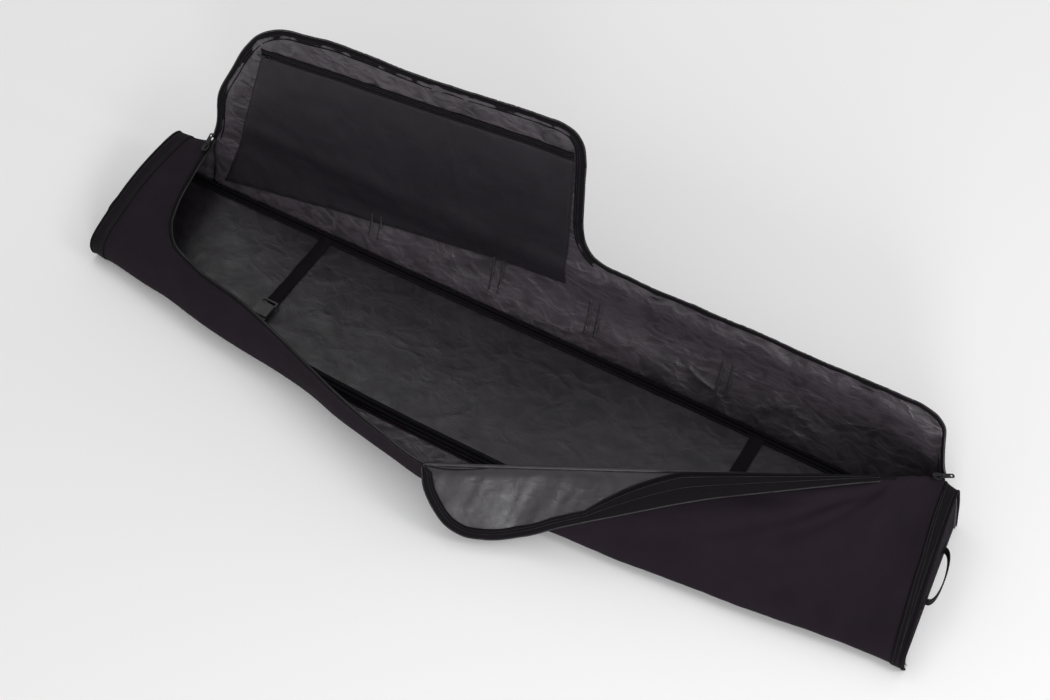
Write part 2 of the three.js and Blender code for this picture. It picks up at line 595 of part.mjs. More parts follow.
const WRAP_HALF_LENGTH = 38;
const WRAP_WALL = 2;
const wrapInner = { y: WEBBING_THICKNESS / 2 + GAP, low: -HANDLE_DROP - WEBBING_WIDTH / 2 - GAP, high: -68 };
const wrapProfile = [
  [-wrapInner.y - WRAP_WALL, wrapInner.low - WRAP_WALL], [wrapInner.y + WRAP_WALL, wrapInner.low - WRAP_WALL],
  [wrapInner.y + WRAP_WALL, wrapInner.high], [wrapInner.y, wrapInner.high], [wrapInner.y, wrapInner.low],
  [-wrapInner.y, wrapInner.low], [-wrapInner.y, wrapInner.high], [-wrapInner.y - WRAP_WALL, wrapInner.high],
];
const wrapFrame = frameAt(new THREE.Vector3(-WRAP_HALF_LENGTH, HINGE_Y, HINGE_Z),
  new THREE.Vector3(0, 1, 0), new THREE.Vector3(0, 0, 1), new THREE.Vector3(1, 0, 0));
add("handle_wrap", slab(wrapProfile, 0, 2 * WRAP_HALF_LENGTH), pocketCloth, wrapFrame);

const RING_BAR = 3.6; // square bar of a ring, and the roomy webbing eye it turns in
const EYE_BORE = 6.2;
const EYE_WALL = 1.4;
const EYE_HALF_WIDTH = 11;
const square = (half) => [[-half, -half], [half, -half], [half, half], [-half, half]];
const RING_HALF_WIDTH = 20;
const RING_SHOULDER = 6; // straight sides before the D's bow
/** Half-ellipse bow of the D, from one angle to another. */
const bow = (from, to, halfWidth, shoulder, depth) =>
  between(from, to, 10).map((a) => [halfWidth * Math.cos(a), -shoulder - depth * Math.sin(a)]);
const holeHalfWidth = RING_HALF_WIDTH - RING_BAR - 0.4;
const ringOutline = [
  [RING_HALF_WIDTH, 0], [-RING_HALF_WIDTH, 0],
  ...bow(Math.PI, 0, RING_HALF_WIDTH, RING_SHOULDER, RING_HALF_WIDTH),
];
const ringHole = [
  [-holeHalfWidth, -RING_BAR], [holeHalfWidth, -RING_BAR],
  ...bow(0, Math.PI, holeHalfWidth, RING_SHOULDER + 1, holeHalfWidth - 0.5),
];
for (const [side, x] of [["left", -RING_X], ["right", RING_X]]) {
  const eyeShape = new THREE.Shape(square(EYE_BORE / 2 + EYE_WALL).map((p) => new THREE.Vector2(...p)));
  eyeShape.holes.push(new THREE.Path(square(EYE_BORE / 2).map((p) => new THREE.Vector2(...p))));
  const eye = new THREE.ExtrudeGeometry(eyeShape, { depth: 2 * EYE_HALF_WIDTH, bevelEnabled: false });
  const eyeFrame = frameAt(new THREE.Vector3(x - EYE_HALF_WIDTH, HINGE_Y, HINGE_Z),
    new THREE.Vector3(0, 1, 0), new THREE.Vector3(0, 0, 1), new THREE.Vector3(1, 0, 0));
  add(`ring_eye_${side}`, eye, webbing, eyeFrame);
  const shape = new THREE.Shape(ringOutline.map((p) => new THREE.Vector2(...p)));
  shape.holes.push(new THREE.Path(ringHole.map((p) => new THREE.Vector2(...p))));
  const ring = new THREE.ExtrudeGeometry(shape, { depth: RING_BAR, bevelEnabled: false });
  const ringFrame = frameAt(new THREE.Vector3(x, HINGE_Y + RING_BAR / 2, HINGE_Z + RING_BAR / 2),
    new THREE.Vector3(1, 0, 0), new THREE.Vector3(0, 0, 1), new THREE.Vector3(0, -1, 0));
  add(`ring_${side}`, ring, metal, ringFrame);
}

// ---- main zip sliders ----

/** Frame at a point on a zip, with x along the travel and z as near to up as that allows. */
function zipFrame(point, travel, up) {
  const x = travel.clone().normalize();
  const z = up.clone().addScaledVector(x, -up.dot(x)).normalize();
  return frameAt(point, x, z.clone().cross(x), z);
}
const MAIN_SLIDER = 1.15;
const MAIN_PULL = 34;
const leftStart = zipLine.getPoint(0.93);
const leftTravel = zipLine.getPoint(0.42).sub(leftStart);
const LEFT_LIFT = new THREE.Vector3(-1, 0, 1.6);
addSlider("zip_slider_left", "zip_pull_left",
  zipFrame(leftStart.clone().add(LEFT_LIFT), leftTravel, new THREE.Vector3(0, 0, 1)), MAIN_SLIDER, MAIN_PULL);

const rightStart = wallPoint(NEAR_SECTIONS, 757, 1);
const rightTravel = wallPoint(NEAR_SECTIONS, 700, 1).sub(rightStart);
const RIGHT_LIFT = new THREE.Vector3(-1, -3, 6);
const RIGHT_UP = new THREE.Vector3(0, -0.3, 1);
addSlider("zip_slider_right", "zip_pull_right",
  zipFrame(rightStart.clone().add(RIGHT_LIFT), rightTravel, RIGHT_UP), MAIN_SLIDER, MAIN_PULL);

// ---- hold-down straps across the floor, each with a side-release buckle ----

const BUCKLE_Y = -58; // mouth of the socket
const BUCKLE_Z = baseTop + 4.6;
const BUCKLE_WIDTH = 34;
const SOCKET_LENGTH = 28;
const SOCKET_HEIGHT = 11;
const SOCKET_WALL = 2;
const LOOP_LENGTH = 12; // frame behind the socket or plug that the webbing goes round
const LOOP_HEIGHT = 4;
const SLOT = [27, 5];
const PRONG = [5.5, 20, 5];
const FIT = 0.5; // prongs to the socket's walls

function buckleSocket() {
  const cavity = box(BUCKLE_WIDTH - 2 * SOCKET_WALL, SOCKET_LENGTH, SOCKET_HEIGHT - 2 * SOCKET_WALL,
    0, -SOCKET_LENGTH / 2 + SOCKET_WALL, 0);
  const shell = toSolid(box(BUCKLE_WIDTH, SOCKET_LENGTH, SOCKET_HEIGHT, 0, -SOCKET_LENGTH / 2, 0));
  const rear = -SOCKET_LENGTH - LOOP_LENGTH / 2;
  const frame = toSolid(box(BUCKLE_WIDTH, LOOP_LENGTH + 2, LOOP_HEIGHT, 0, rear + 1, 0));
  const slot = toSolid(box(SLOT[0], SLOT[1], LOOP_HEIGHT + 2, 0, rear, 0));
  return toGeometry(shell.add(frame.subtract(slot)).subtract(toSolid(cavity)));
}

function bucklePlug() {
  const middle = LOOP_LENGTH / 2 + FIT;
  const frame = toSolid(box(BUCKLE_WIDTH, LOOP_LENGTH, LOOP_HEIGHT, 0, middle, 0));
  const slot = toSolid(box(SLOT[0], SLOT[1], LOOP_HEIGHT + 2, 0, middle, 0));
  const reach = BUCKLE_WIDTH / 2 - SOCKET_WALL - FIT - PRONG[0] / 2;
  const prongs = [-reach, 0, reach].map((x) =>
    toSolid(box(PRONG[0], PRONG[1] + 3, x === 0 ? PRONG[2] - 2 : PRONG[2], x, 1.5 - PRONG[1] / 2 + FIT, 0)));
  return toGeometry(prongs.reduce((solid, prong) => solid.add(prong), frame.subtract(slot)));
}

const strapFrame = (x) => frameAt(new THREE.Vector3(x - WEBBING_WIDTH / 2, 0, 0),
  new THREE.Vector3(0, 1, 0), new THREE.Vector3(0, 0, 1), new THREE.Vector3(1, 0, 0));
const strapBottom = baseTop + GAP;
const socketSlotY = BUCKLE_Y - SOCKET_LENGTH - LOOP_LENGTH / 2;
for (const [side, x] of [["left", -STRAP_X], ["right", STRAP_X]]) {
  const nearEnd = sectionAt(NEAR_SECTIONS, x)[0][0] + PIPING_INSET + PIPING_RADIUS + 2.5;
  const farEnd = sectionAt(FAR_SECTIONS, x)[0][0] - PIPING_INSET - PIPING_RADIUS - 2.5;
  const nearPath = [
    [nearEnd, strapBottom], [socketSlotY - 10, strapBottom], [socketSlotY - 1, strapBottom + 1],
  ];
  const farPath = [[BUCKLE_Y + 12, strapBottom], [farEnd, strapBottom]];
  const webbingSlab = (path) => slab(ribbon(path, 0, WEBBING_THICKNESS), 0, WEBBING_WIDTH);
  add(`strap_near_${side}`, webbingSlab(nearPath), webbing, strapFrame(x));
  add(`strap_far_${side}`, webbingSlab(farPath), webbing, strapFrame(x));
  const place = new THREE.Matrix4().makeTranslation(x, BUCKLE_Y, BUCKLE_Z + SOCKET_HEIGHT / 2);
  add(`buckle_socket_${side}`, buckleSocket(), plastic, place);
  add(`buckle_plug_${side}`, bucklePlug(), plastic, place);
}

export default bag;
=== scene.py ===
"""Looks of the snowboard bag: woven shell, crinkled lining, zips, webbing and hardware."""
import json
import math

import bpy
import bmesh
import numpy as np
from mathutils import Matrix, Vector, noise
from mathutils.geometry import delaunay_2d_cdt


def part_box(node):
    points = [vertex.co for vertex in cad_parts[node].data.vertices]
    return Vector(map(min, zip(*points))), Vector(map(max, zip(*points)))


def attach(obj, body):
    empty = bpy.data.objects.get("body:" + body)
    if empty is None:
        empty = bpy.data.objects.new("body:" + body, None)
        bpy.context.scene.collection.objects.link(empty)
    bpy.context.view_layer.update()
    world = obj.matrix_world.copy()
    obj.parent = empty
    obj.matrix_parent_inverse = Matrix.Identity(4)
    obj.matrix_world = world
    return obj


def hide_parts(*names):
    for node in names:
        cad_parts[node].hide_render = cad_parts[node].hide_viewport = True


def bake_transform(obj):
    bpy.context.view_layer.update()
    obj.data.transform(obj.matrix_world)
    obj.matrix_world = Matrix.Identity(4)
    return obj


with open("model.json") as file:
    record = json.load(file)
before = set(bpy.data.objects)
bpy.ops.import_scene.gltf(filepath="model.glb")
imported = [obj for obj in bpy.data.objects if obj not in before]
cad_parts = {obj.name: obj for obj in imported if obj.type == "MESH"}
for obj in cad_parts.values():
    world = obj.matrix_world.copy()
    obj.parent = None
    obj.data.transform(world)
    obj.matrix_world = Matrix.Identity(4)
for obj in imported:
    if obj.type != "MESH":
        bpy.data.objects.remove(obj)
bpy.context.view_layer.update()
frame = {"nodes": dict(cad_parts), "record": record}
MM = 0.001

# ---------------------------------------------------------------- camera, floor and light

scene = bpy.context.scene
scene.view_settings.view_transform = "Standard"

AZIMUTH = math.radians(30.2956)
ELEVATION = math.radians(52.0)
CAMERA_DISTANCE = 3.0
CAMERA_TARGET = Vector((0.03275, 0.04855, 0.08))
camera_back = Vector((
    math.sin(AZIMUTH) * math.cos(ELEVATION), -math.cos(AZIMUTH) * math.cos(ELEVATION), math.sin(ELEVATION)))
camera_data = bpy.data.cameras.new("camera")
camera_data.sensor_width = 36.0
camera_data.lens = 58.99
camera = bpy.data.objects.new("camera", camera_data)
camera.location = CAMERA_TARGET + camera_back * CAMERA_DISTANCE
camera.rotation_euler = (-camera_back).to_track_quat("-Z", "Y").to_euler()
scene.collection.objects.link(camera)
scene.camera = camera


def area_light(name, place, target, size, power):
    data = bpy.data.lights.new(name, "AREA")
    data.shape = "DISK"
    data.size = size
    data.energy = power
    light = bpy.data.objects.new(name, data)
    light.location = place
    light.rotation_euler = (Vector(target) - Vector(place)).to_track_quat("-Z", "Y").to_euler()
    scene.collection.objects.link(light)


area_light("key", (1.9, -2.9, 1.15), (0, 0.1, 0.15), 1.2, 52)
area_light("side", (2.9, 0.2, 2.3), (0.2, 0, 0.1), 1.2, 22)
area_light("top", (-1.6, 0.9, 2.9), (0, 0, 0.1), 1.4, 8)
area_light("back", (0.8, 3.0, 2.0), (0, 0, 0.2), 1.8, 8)
world = bpy.data.worlds.new("studio")
world.use_nodes = True
sky = world.node_tree.nodes["Background"]
sky.inputs["Color"].default_value = (1.0, 1.0, 1.0, 1.0)
sky.inputs["Strength"].default_value = 0.62
scene.world = world

# ---------------------------------------------------------------- materials


class Graph:
    """A material's node tree, with short calls for the nodes used here."""

    def __init__(self, name, roughness, specular=0.4, metallic=0.0):
        self.material = bpy.data.materials.new(name)
        self.material.use_nodes = True
        self.tree = self.material.node_tree
        self.shader = self.tree.nodes["Principled BSDF"]
        self.set(self.shader, Roughness=roughness, Metallic=metallic)
        self.shader.inputs["Specular IOR Level"].default_value = specular
        self.object_place = self.new("ShaderNodeTexCoord").outputs["Object"]
        self.cloth_place = self.new("ShaderNodeTexCoord").outputs["UV"]
        self.normal = None

    def new(self, kind, **settings):
        node = self.tree.nodes.new(kind)
        for key, value in settings.items():
            setattr(node, key, value)
        return node

    def set(self, node, **values):
        for key, value in values.items():
            node.inputs[key].default_value = value

    def link(self, a, b):
        self.tree.links.new(a, b)

    def feed(self, socket, value):
        if hasattr(value, "is_output"):
            self.link(value, socket)
        else:
            socket.default_value = value

    def noise(self, scale, detail=3.0, rough=0.5, distort=0.0, kind="FBM", place=None):
        node = self.new("ShaderNodeTexNoise", noise_type=kind)
        self.link(place or self.object_place, node.inputs["Vector"])
        self.set(node, Scale=scale, Detail=detail, Roughness=rough, Distortion=distort)
        if kind == "RIDGED_MULTIFRACTAL":
            self.set(node, Offset=0.9, Gain=1.6)
        return node.outputs["Fac"]

    def waves(self, per_metre, axis):
        """Even ribs across an axis: Blender's wave repeats every pi / 10 units at scale 1."""
        node = self.new("ShaderNodeTexWave", bands_direction=axis)
        self.link(self.cloth_place, node.inputs["Vector"])
        self.set(node, Scale=per_metre * math.pi / 10, Distortion=0.0)
        return node.outputs["Fac"]

    def math(self, operation, a, b):
        node = self.new("ShaderNodeMath", operation=operation)
        self.feed(node.inputs[0], a)
        self.feed(node.inputs[1], b)
        return node.outputs[0]

    def ramp(self, value, *stops):
        node = self.new("ShaderNodeValToRGB")
        self.link(value, node.inputs["Fac"])
        ramp = node.color_ramp
        while len(ramp.elements) < len(stops):
            ramp.elements.new(0.5)
        for element, (place, shade) in zip(ramp.elements, stops):
            element.position = place
            element.color = (*shade, 1) if hasattr(shade, "__len__") else (shade, shade, shade, 1)
        return node.outputs["Color"]

    def bump(self, height, distance, strength=1.0):
        node = self.new("ShaderNodeBump")
        self.set(node, Distance=distance, Strength=strength)
        self.link(height, node.inputs["Height"])
        if self.normal is not None:
            self.link(self.normal, node.inputs["Normal"])
        self.normal = node.outputs["Normal"]

    def mix(self, factor, low, high):
        node = self.new("ShaderNodeMix", data_type="RGBA")
        self.feed(node.inputs[0], factor)
        for socket, value in ((node.inputs[6], low), (node.inputs[7], high)):
            self.feed(socket, value if hasattr(value, "is_output") else (*value, 1.0))
        return node.outputs[2]

    def finish(self, colour):
        self.feed(self.shader.inputs["Base Color"], colour)
        if self.normal is not None:
            self.link(self.normal, self.shader.inputs["Normal"])
        return self.material


def scaled(colour, factor):
    return tuple(channel * factor for channel in colour)


def woven(name, colour, roughness, threads, specular, folds):
    """Plain-woven cloth: threads per metre both ways, slubs, soft shade changes, pale dust specks, and a
    painted highlight: the weave's high spots painted paler.
    """
    g = Graph(name, roughness, specular)
    warp = g.waves(threads, "X")
    weft = g.waves(threads, "Y")
    slub = g.noise(220, 2, 0.6)
    weave = g.math("ADD", g.math("MULTIPLY", warp, weft), g.math("MULTIPLY", slub, 0.5))
    g.bump(g.noise(9, 3, 0.5, 0.6), folds)
    g.bump(g.noise(38, 3, 0.55, 0.4), folds * 0.22)
    g.bump(weave, 0.00018, 0.7)
    shade = g.ramp(g.noise(5, 4, 0.6), (0.35, scaled(colour, 0.86)), (0.65, scaled(colour, 1.18)))
    dust = g.ramp(g.noise(60, 5, 0.7), (0.62, 0.0), (0.8, 0.14))
    # painted highlight: the thread crowns of the weave painted paler, up to 1.7 times the colour
    thread_highlight = g.mix(g.math("MULTIPLY", weave, 0.35), shade, scaled(colour, 1.7))
    rough = g.ramp(g.noise(30, 3), (0.3, roughness - 0.05), (0.7, min(roughness + 0.07, 1.0)))
    g.link(rough, g.shader.inputs["Roughness"])
    return g.finish(g.mix(dust, thread_highlight, scaled(colour, 2.2)))


def coated(name, colour, roughness, crease):
    """Coated nylon lining: sharp random creases over a fine rip-stop weave, with a painted highlight: the
    crease ridges painted paler.
    """
    g = Graph(name, roughness, 0.55)
    stretch = g.new("ShaderNodeMapping")
    g.link(g.object_place, stretch.inputs["Vector"])
    stretch.inputs["Scale"].default_value = (0.8, 1.0, 1.25)
    place = stretch.outputs["Vector"]
    large = g.noise(9, 3, 0.45, 0.9, "RIDGED_MULTIFRACTAL", place)
    small = g.noise(34, 3, 0.5, 0.6, "RIDGED_MULTIFRACTAL", place)
    cells = g.new("ShaderNodeTexVoronoi", feature="DISTANCE_TO_EDGE")
    warped = g.new("ShaderNodeVectorMath", operation="ADD")
    wobble = g.new("ShaderNodeTexNoise")
    g.link(place, wobble.inputs["Vector"])
    scale_down = g.new("ShaderNodeVectorMath", operation="SCALE")
    g.link(wobble.outputs["Color"], scale_down.inputs[0])
    g.link(place, warped.inputs[0])
    g.link(scale_down.outputs[0], warped.inputs[1])
    g.link(warped.outputs[0], cells.inputs["Vector"])
    for node, scale in ((wobble, 14), (scale_down, 0.05), (cells, 26)):
        g.set(node, Scale=scale)
    facets = g.ramp(cells.outputs["Distance"], (0.0, 0.0), (0.32, 1.0))
    g.bump(large, crease, 0.9)
    g.bump(facets, crease * 0.34, 0.8)
    g.bump(small, crease * 0.30, 0.8)
    g.bump(g.math("MULTIPLY", g.waves(900, "X"), g.waves(900, "Y")), 0.00012, 0.5)
    # painted highlight: the ridges of the small creases painted paler, up to 1.8 times the colour
    wear_and_highlight = g.ramp(small, (0.35, 0.0), (0.85, 0.5))
    shade = g.ramp(g.noise(6, 4, 0.6), (0.35, scaled(colour, 0.75)), (0.68, scaled(colour, 1.25)))
    rough = g.ramp(g.noise(22, 4, 0.6), (0.3, roughness - 0.08), (0.7, roughness + 0.16))
    g.link(rough, g.shader.inputs["Roughness"])
    return g.finish(g.mix(wear_and_highlight, shade, scaled(colour, 1.8)))


def ribbed(name, colour, roughness, ribs, depth):
    """Webbing or zip tape: ribs along the strip, crossed by a fine weave."""
    g = Graph(name, roughness, 0.12)
    rib = g.waves(ribs, "Y")
    cross = g.waves(ribs * 1.7, "DIAGONAL")
    g.bump(g.math("ADD", rib, g.math("MULTIPLY", cross, 0.6)), depth, 0.9)
    # pale patches of wear, placed at random
    wear_and_highlight = g.ramp(g.noise(45, 4, 0.65), (0.55, 0.0), (0.8, 0.35))
    # painted highlight and shade: the rib crests painted paler and the grooves darker
    shade = g.mix(g.math("MULTIPLY", rib, 0.5), scaled(colour, 0.8), scaled(colour, 1.5))
    return g.finish(g.mix(wear_and_highlight, shade, scaled(colour, 2.4)))


def moulded(name, colour, roughness, metallic=0.0, grain=0.00008, wear=1.6):
    """Moulded plastic or painted metal: fine grain, and edges rubbed a little paler."""
    g = Graph(name, roughness, 0.5, metallic)
    g.bump(g.noise(900, 2), grain, 0.6)
    # pale patches of wear, placed at random
    wear_and_highlight = g.ramp(g.noise(120, 4, 0.6), (0.55, 0.0), (0.75, 0.6))
    rough = g.ramp(g.noise(80, 3), (0.3, roughness - 0.06), (0.7, roughness + 0.1))
    g.link(rough, g.shader.inputs["Roughness"])
    return g.finish(g.mix(wear_and_highlight, colour, scaled(colour, wear)))


OUTER = woven("outer_cloth", (0.0118, 0.0082, 0.0122), 0.85, 1500, 0.10, 0.0010)
POCKET = woven("pocket_cloth", (0.0135, 0.0105, 0.0152), 0.52, 2200, 0.28, 0.0034)
# one lining fabric in two colours, lit and shaded copies: this paler one, for the near and far walls, is
# painted light, and the next, darker one, for the near flap, crease roll and floor pad, is painted shade
LIT_LINING = coated("lining_cloth", (0.040, 0.0335, 0.041), 0.33, 0.0034)
SHADED_LINING = coated("soft_lining", (0.0155, 0.0130, 0.0160), 0.42, 0.0012)
WEBBING = ribbed("webbing", (0.0078, 0.0058, 0.0082), 0.8, 620, 0.0004)
TAPE = ribbed("zip_tape", (0.0050, 0.0038, 0.0054), 0.8, 1100, 0.0002)
THREAD = moulded("thread", (0.020, 0.019, 0.020), 0.6)
# the coil's colour is raised well above the tape's as a painted highlight, for the shine along the zip's edge
COIL = moulded("zip_coil", (0.020, 0.018, 0.020), 0.38)
PLASTIC = moulded("plastic", (0.009, 0.009, 0.010), 0.36)
METAL = moulded("metal", (0.022, 0.022, 0.024), 0.34, 0.75, 0.00003, 3.0)

# ---------------------------------------------------------------- the bag's shape, as in the CAD part (mm)

END_X = 812
FOLD_LEFT = (-735, 106)
FOLD_RIGHT = (78, 186)
FLAP_TAN = math.tan(math.radians(3))
CREASE_START = np.array((20, -257, 105)) * MM
CREASE_END = np.array((700, 75, 150)) * MM
# where the bag's length turns into its right end, and how far that end leans out, across and up
SLANT_START = 0.765
SLANT_OUT, SLANT_ACROSS, SLANT_UP = 0.014, 0.1, 0.18


def slanted(points):
    """Moves points by the slant of the closed right end."""
    points = np.array(points, float)
    share = np.clip((points[..., 0] - SLANT_START) / (END_X * MM - SLANT_START), 0, 1)
    points[..., 0] += share * (SLANT_OUT - SLANT_ACROSS * points[..., 1] - SLANT_UP * points[..., 2])
    return points


def fold_z(x):
    share = (np.asarray(x) - FOLD_LEFT[0]) / (FOLD_RIGHT[0] - FOLD_LEFT[0])
    return FOLD_LEFT[1] + share * (FOLD_RIGHT[1] - FOLD_LEFT[1])


def flap_y(z):
    return 188 + (np.asarray(z) - 168) * FLAP_TAN


# x, foot y, then (y, z) of the belly, the shoulder and the top edge
NEAR = [
    (-812, -100, -112, 20, -111, 38, -100, 52), (-777, -104, -117, 22, -114, 44, -98, 61),
    (-735, -109, -124, 24, -117, 52, -95, 72), (-690, -115, -132, 28, -121, 62, -93, 84),
    (-662, -118, -137, 30, -123, 68, -91, 92), (-627, -122, -142, 32, -126, 74, -89, 100),
    (-548, -131, -155, 34, -139, 78, -111, 103), (-451, -144, -168, 32, -153, 74, -129, 104),
    (-360, -152, -178, 30, -173, 70, -155, 104), (-283, -157, -186, 27, -192, 66, -180, 103),
    (-178, -161, -203, 21, -222, 58, -213, 100), (-80, -163, -214, 18, -240, 54, -238, 101),
    (20, -163, -222, 16, -253, 52, -257, 105), (160, -163, -224, 16, -232, 48, -189, 114),
    (285, -162, -214, 18, -192, 66, -128, 122), (420, -160, -202, 18, -156, 74, -62, 131),
    (560, -157, -188, 18, -126, 78, 7, 141), (640, -155, -176, 18, -108, 78, 46, 146),
    (700, -153, -168, 18, -90, 78, 75, 150), (735, -151, -163, 18, -80, 70, 117, 127),
    (765, -150, -160, 17, -72, 60, 147, 104), (777, -149, -158, 17, -70, 58, 145, 102),
    (812, -147, -154, 16, -70, 54, 141, 98),
]
# x, foot y, then (y, z) of the middle and of a point high up
FAR = [
    (-812, 158, 170, 50, 174, 95), (-777, 158, 171, 52, 176, 98), (-735, 157, 174, 55, 180, 101),
    (-690, 156, 176, 56, 184.7, 105), (-640, 156, 177, 58, 185, 110), (-400, 156, 178, 70, 186.2, 134),
    (-170, 156, 178, 76, 187.4, 157), (62, 156, 178, 80, 188.6, 179), (105, 156, 178, 84, 190, 203),
    (300, 155, 178, 84, 191, 205), (500, 153, 178, 84, 191, 205), (690, 151, 176, 84, 190, 205),
    (735, 149, 174, 70, 188, 184), (765, 147, 160, 50, 154, 106), (777, 146, 156, 50, 151, 104),
    (812, 144, 152, 50, 147, 100),
]
# left end of the opening, from its near corner to its far corner
LEFT_ZIP = np.array([(-627, -89, 100), (-664, -52, 100), (-690, 0, 101), (-712, 80, 103), (-730, 171, 105)])
# free edge of the far wall and flap, (x, z), from the left to the right
FAR_EDGE = [
    (-730, 103), (-719, 135), (-702, 223), (-664, 296), (-624, 366), (-588, 408), (-545, 434), (-484, 447),
    (-225, 463), (-20, 484), (14, 486), (36, 479), (50, 460), (56, 430), (57, 380), (58, 320), (60, 270),
    (68, 238), (84, 217), (108, 206), (140, 203), (300, 205), (500, 205), (660, 206), (694, 204), (716, 197),
    (733, 181), (746, 152), (757, 122), (765, 106),
]
# free edge of the near flap: distance along the crease, width beyond it
NEAR_FLAP_EDGE = [
    (0, 4), (3, 34), (20, 74), (38, 98), (62, 113), (100, 119), (166, 111), (224, 93), (338, 66), (451, 43),
    (547, 30), (650, 17), (735, 7),
]
NEAR_FLAP_TILT = [(0, 50), (150, 50), (260, 39), (400, 28), (560, 20), (700, 16)]
POCKET_CORNERS = [(-700, 20), (36, 129), (41, 424), (-590, 364)]

# ---------------------------------------------------------------- curves and surfaces


def hermite(xs, ys, slopes, x):
    """Cubic curve through ys at xs with given slopes."""
    i = np.clip(np.searchsorted(xs, x, side="right") - 1, 0, len(xs) - 2)
    step = (xs[i + 1] - xs[i])[:, None]
    t = np.clip((x - xs[i])[:, None] / step, 0.0, 1.0)
    return ((1 + 2 * t) * (1 - t) ** 2 * ys[i] + t * (1 - t) ** 2 * step * slopes[i]
            + t * t * (3 - 2 * t) * ys[i + 1] + t * t * (t - 1) * step * slopes[i + 1])


def pchip(xs, ys, x):
    """Smooth interpolation of ys at xs without overshoot; ys may hold several values per place."""
    xs, ys, x = np.asarray(xs, float), np.asarray(ys, float), np.asarray(x, float)
    flat = ys.reshape(len(xs), -1)
    h = np.diff(xs)[:, None]
    d = np.diff(flat, axis=0) / h
    slopes = np.zeros_like(flat)
    slopes[0], slopes[-1] = d[0], d[-1]
    w1, w2 = 2 * h[1:] + h[:-1], h[1:] + 2 * h[:-1]
    with np.errstate(divide="ignore", invalid="ignore"):
        inner = (w1 + w2) / (w1 / d[:-1] + w2 / d[1:])
    slopes[1:-1] = np.where(d[:-1] * d[1:] > 0, inner, 0.0)
    return hermite(xs, flat, slopes, x.ravel()).reshape(x.shape + ys.shape[1:])


def catmull(xs, ys, x):
    """Rounded interpolation with central-difference slopes."""
    xs, ys = np.asarray(xs, float), np.asarray(ys, float)
    h = np.diff(xs)[:, None]
    d = np.diff(ys, axis=0) / h
    slopes = np.empty_like(ys)
    slopes[0], slopes[-1] = d[0], d[-1]
    slopes[1:-1] = (d[:-1] * h[1:] + d[1:] * h[:-1]) / (h[1:] + h[:-1])
    return hermite(xs, ys, slopes, x)


def length_along(points):
    return np.concatenate([[0.0], np.cumsum(np.linalg.norm(np.diff(points, axis=0), axis=1))])


def at_lengths(points, lengths, at):
    """Places on a line of points at some lengths along it."""
    return np.stack([np.interp(at, lengths, points[:, k]) for k in range(points.shape[1])], axis=1)


def rounded(points, count):
    """A fine rounded curve through points, with the length along it."""
    lengths = length_along(points)
    fine = catmull(lengths, points, np.linspace(0, lengths[-1], count))
    return fine, length_along(fine)


def smooth_line(points, step=None, count=None):
    """Evenly spaced points on a rounded curve through points."""
    points = np.asarray(points, float)
    fine, lengths = rounded(points, 40 * len(points))
    count = count or max(int(round(lengths[-1] / step)), 2)
    return at_lengths(fine, lengths, np.linspace(0, lengths[-1], count + 1))


def even_path(path, step):
    """The same path with even steps."""
    path = np.asarray(path, float)
    lengths = length_along(path)
    count = max(int(round(lengths[-1] / step)), 1)
    return at_lengths(path, lengths, np.linspace(0, lengths[-1], count + 1))


def unit(vectors):
    return vectors / np.maximum(np.linalg.norm(vectors, axis=-1, keepdims=True), 1e-12)


class Surface:
    """A curved sheet on an even grid of two coordinates a and b, with normals, sampled anywhere."""

    def __init__(self, a, b, points, flip=False):
        self.a, self.b, self.points = np.asarray(a, float), np.asarray(b, float), points
        self.flip = flip
        self.update()

    def update(self):
        along = np.gradient(self.points, axis=0)
        across = np.gradient(self.points, axis=1)
        normals = unit(np.cross(along, across))
        self.normals = -normals if self.flip else normals

    def face(self, direction):
        """Turns the normals so that most point towards a direction."""
        if np.mean(self.normals @ np.asarray(direction, float)) < 0:
            self.flip = not self.flip
            self.update()
        return self

    def raise_by(self, heights):
        self.points = self.points + self.normals * heights[..., None]
        self.update()

    def sample(self, grid, a, b):
        fa = np.clip((a - self.a[0]) / (self.a[-1] - self.a[0]) * (len(self.a) - 1), 0, len(self.a) - 1.0001)
        fb = np.clip((b - self.b[0]) / (self.b[-1] - self.b[0]) * (len(self.b) - 1), 0, len(self.b) - 1.0001)
        i, j = fa.astype(int), fb.astype(int)
        u, v = (fa - i)[..., None], (fb - j)[..., None]
        return ((1 - u) * (1 - v) * grid[i, j] + u * (1 - v) * grid[i + 1, j]
                + (1 - u) * v * grid[i, j + 1] + u * v * grid[i + 1, j + 1])

    def at(self, a, b, offset=0.0):
        a, b = np.broadcast_arrays(np.asarray(a, float), np.asarray(b, float))
        offset = np.broadcast_to(np.asarray(offset, float), a.shape)[..., None]
        return self.sample(self.points, a, b) + unit(self.sample(self.normals, a, b)) * offset

    def normal(self, a, b):
        a, b = np.broadcast_arrays(np.asarray(a, float), np.asarray(b, float))
        return unit(self.sample(self.normals, a, b))


def field(points, scale, seed, octaves=3, ridged=False):
    """Smooth noise at points, about -1 to 1, or sharp ridges from 0 to 1."""
    flat = np.asarray(points, float).reshape(-1, 3)
    shift = Vector((seed * 3.17, seed * 1.91, seed * 2.63))
    total = np.zeros(len(flat))
    weight, frequency, amount = 1.0, scale, 0.0
    for _ in range(octaves):
        values = np.array([noise.noise(Vector(p) * frequency + shift) for p in flat])
        total += weight * ((1 - np.abs(values) * 2) if ridged else values * 1.6)
        amount += weight
        weight *= 0.5
        frequency *= 2.1
    return (total / amount).reshape(np.asarray(points).shape[:-1])


# near wall: x along, t up the section
near_xs = np.linspace(-0.812, 0.812, 407)
near_ts = np.linspace(0, 1, 61)
near_table = np.array(NEAR, float)
near_controls = pchip(near_table[:, 0], near_table[:, 1:], near_xs / MM)


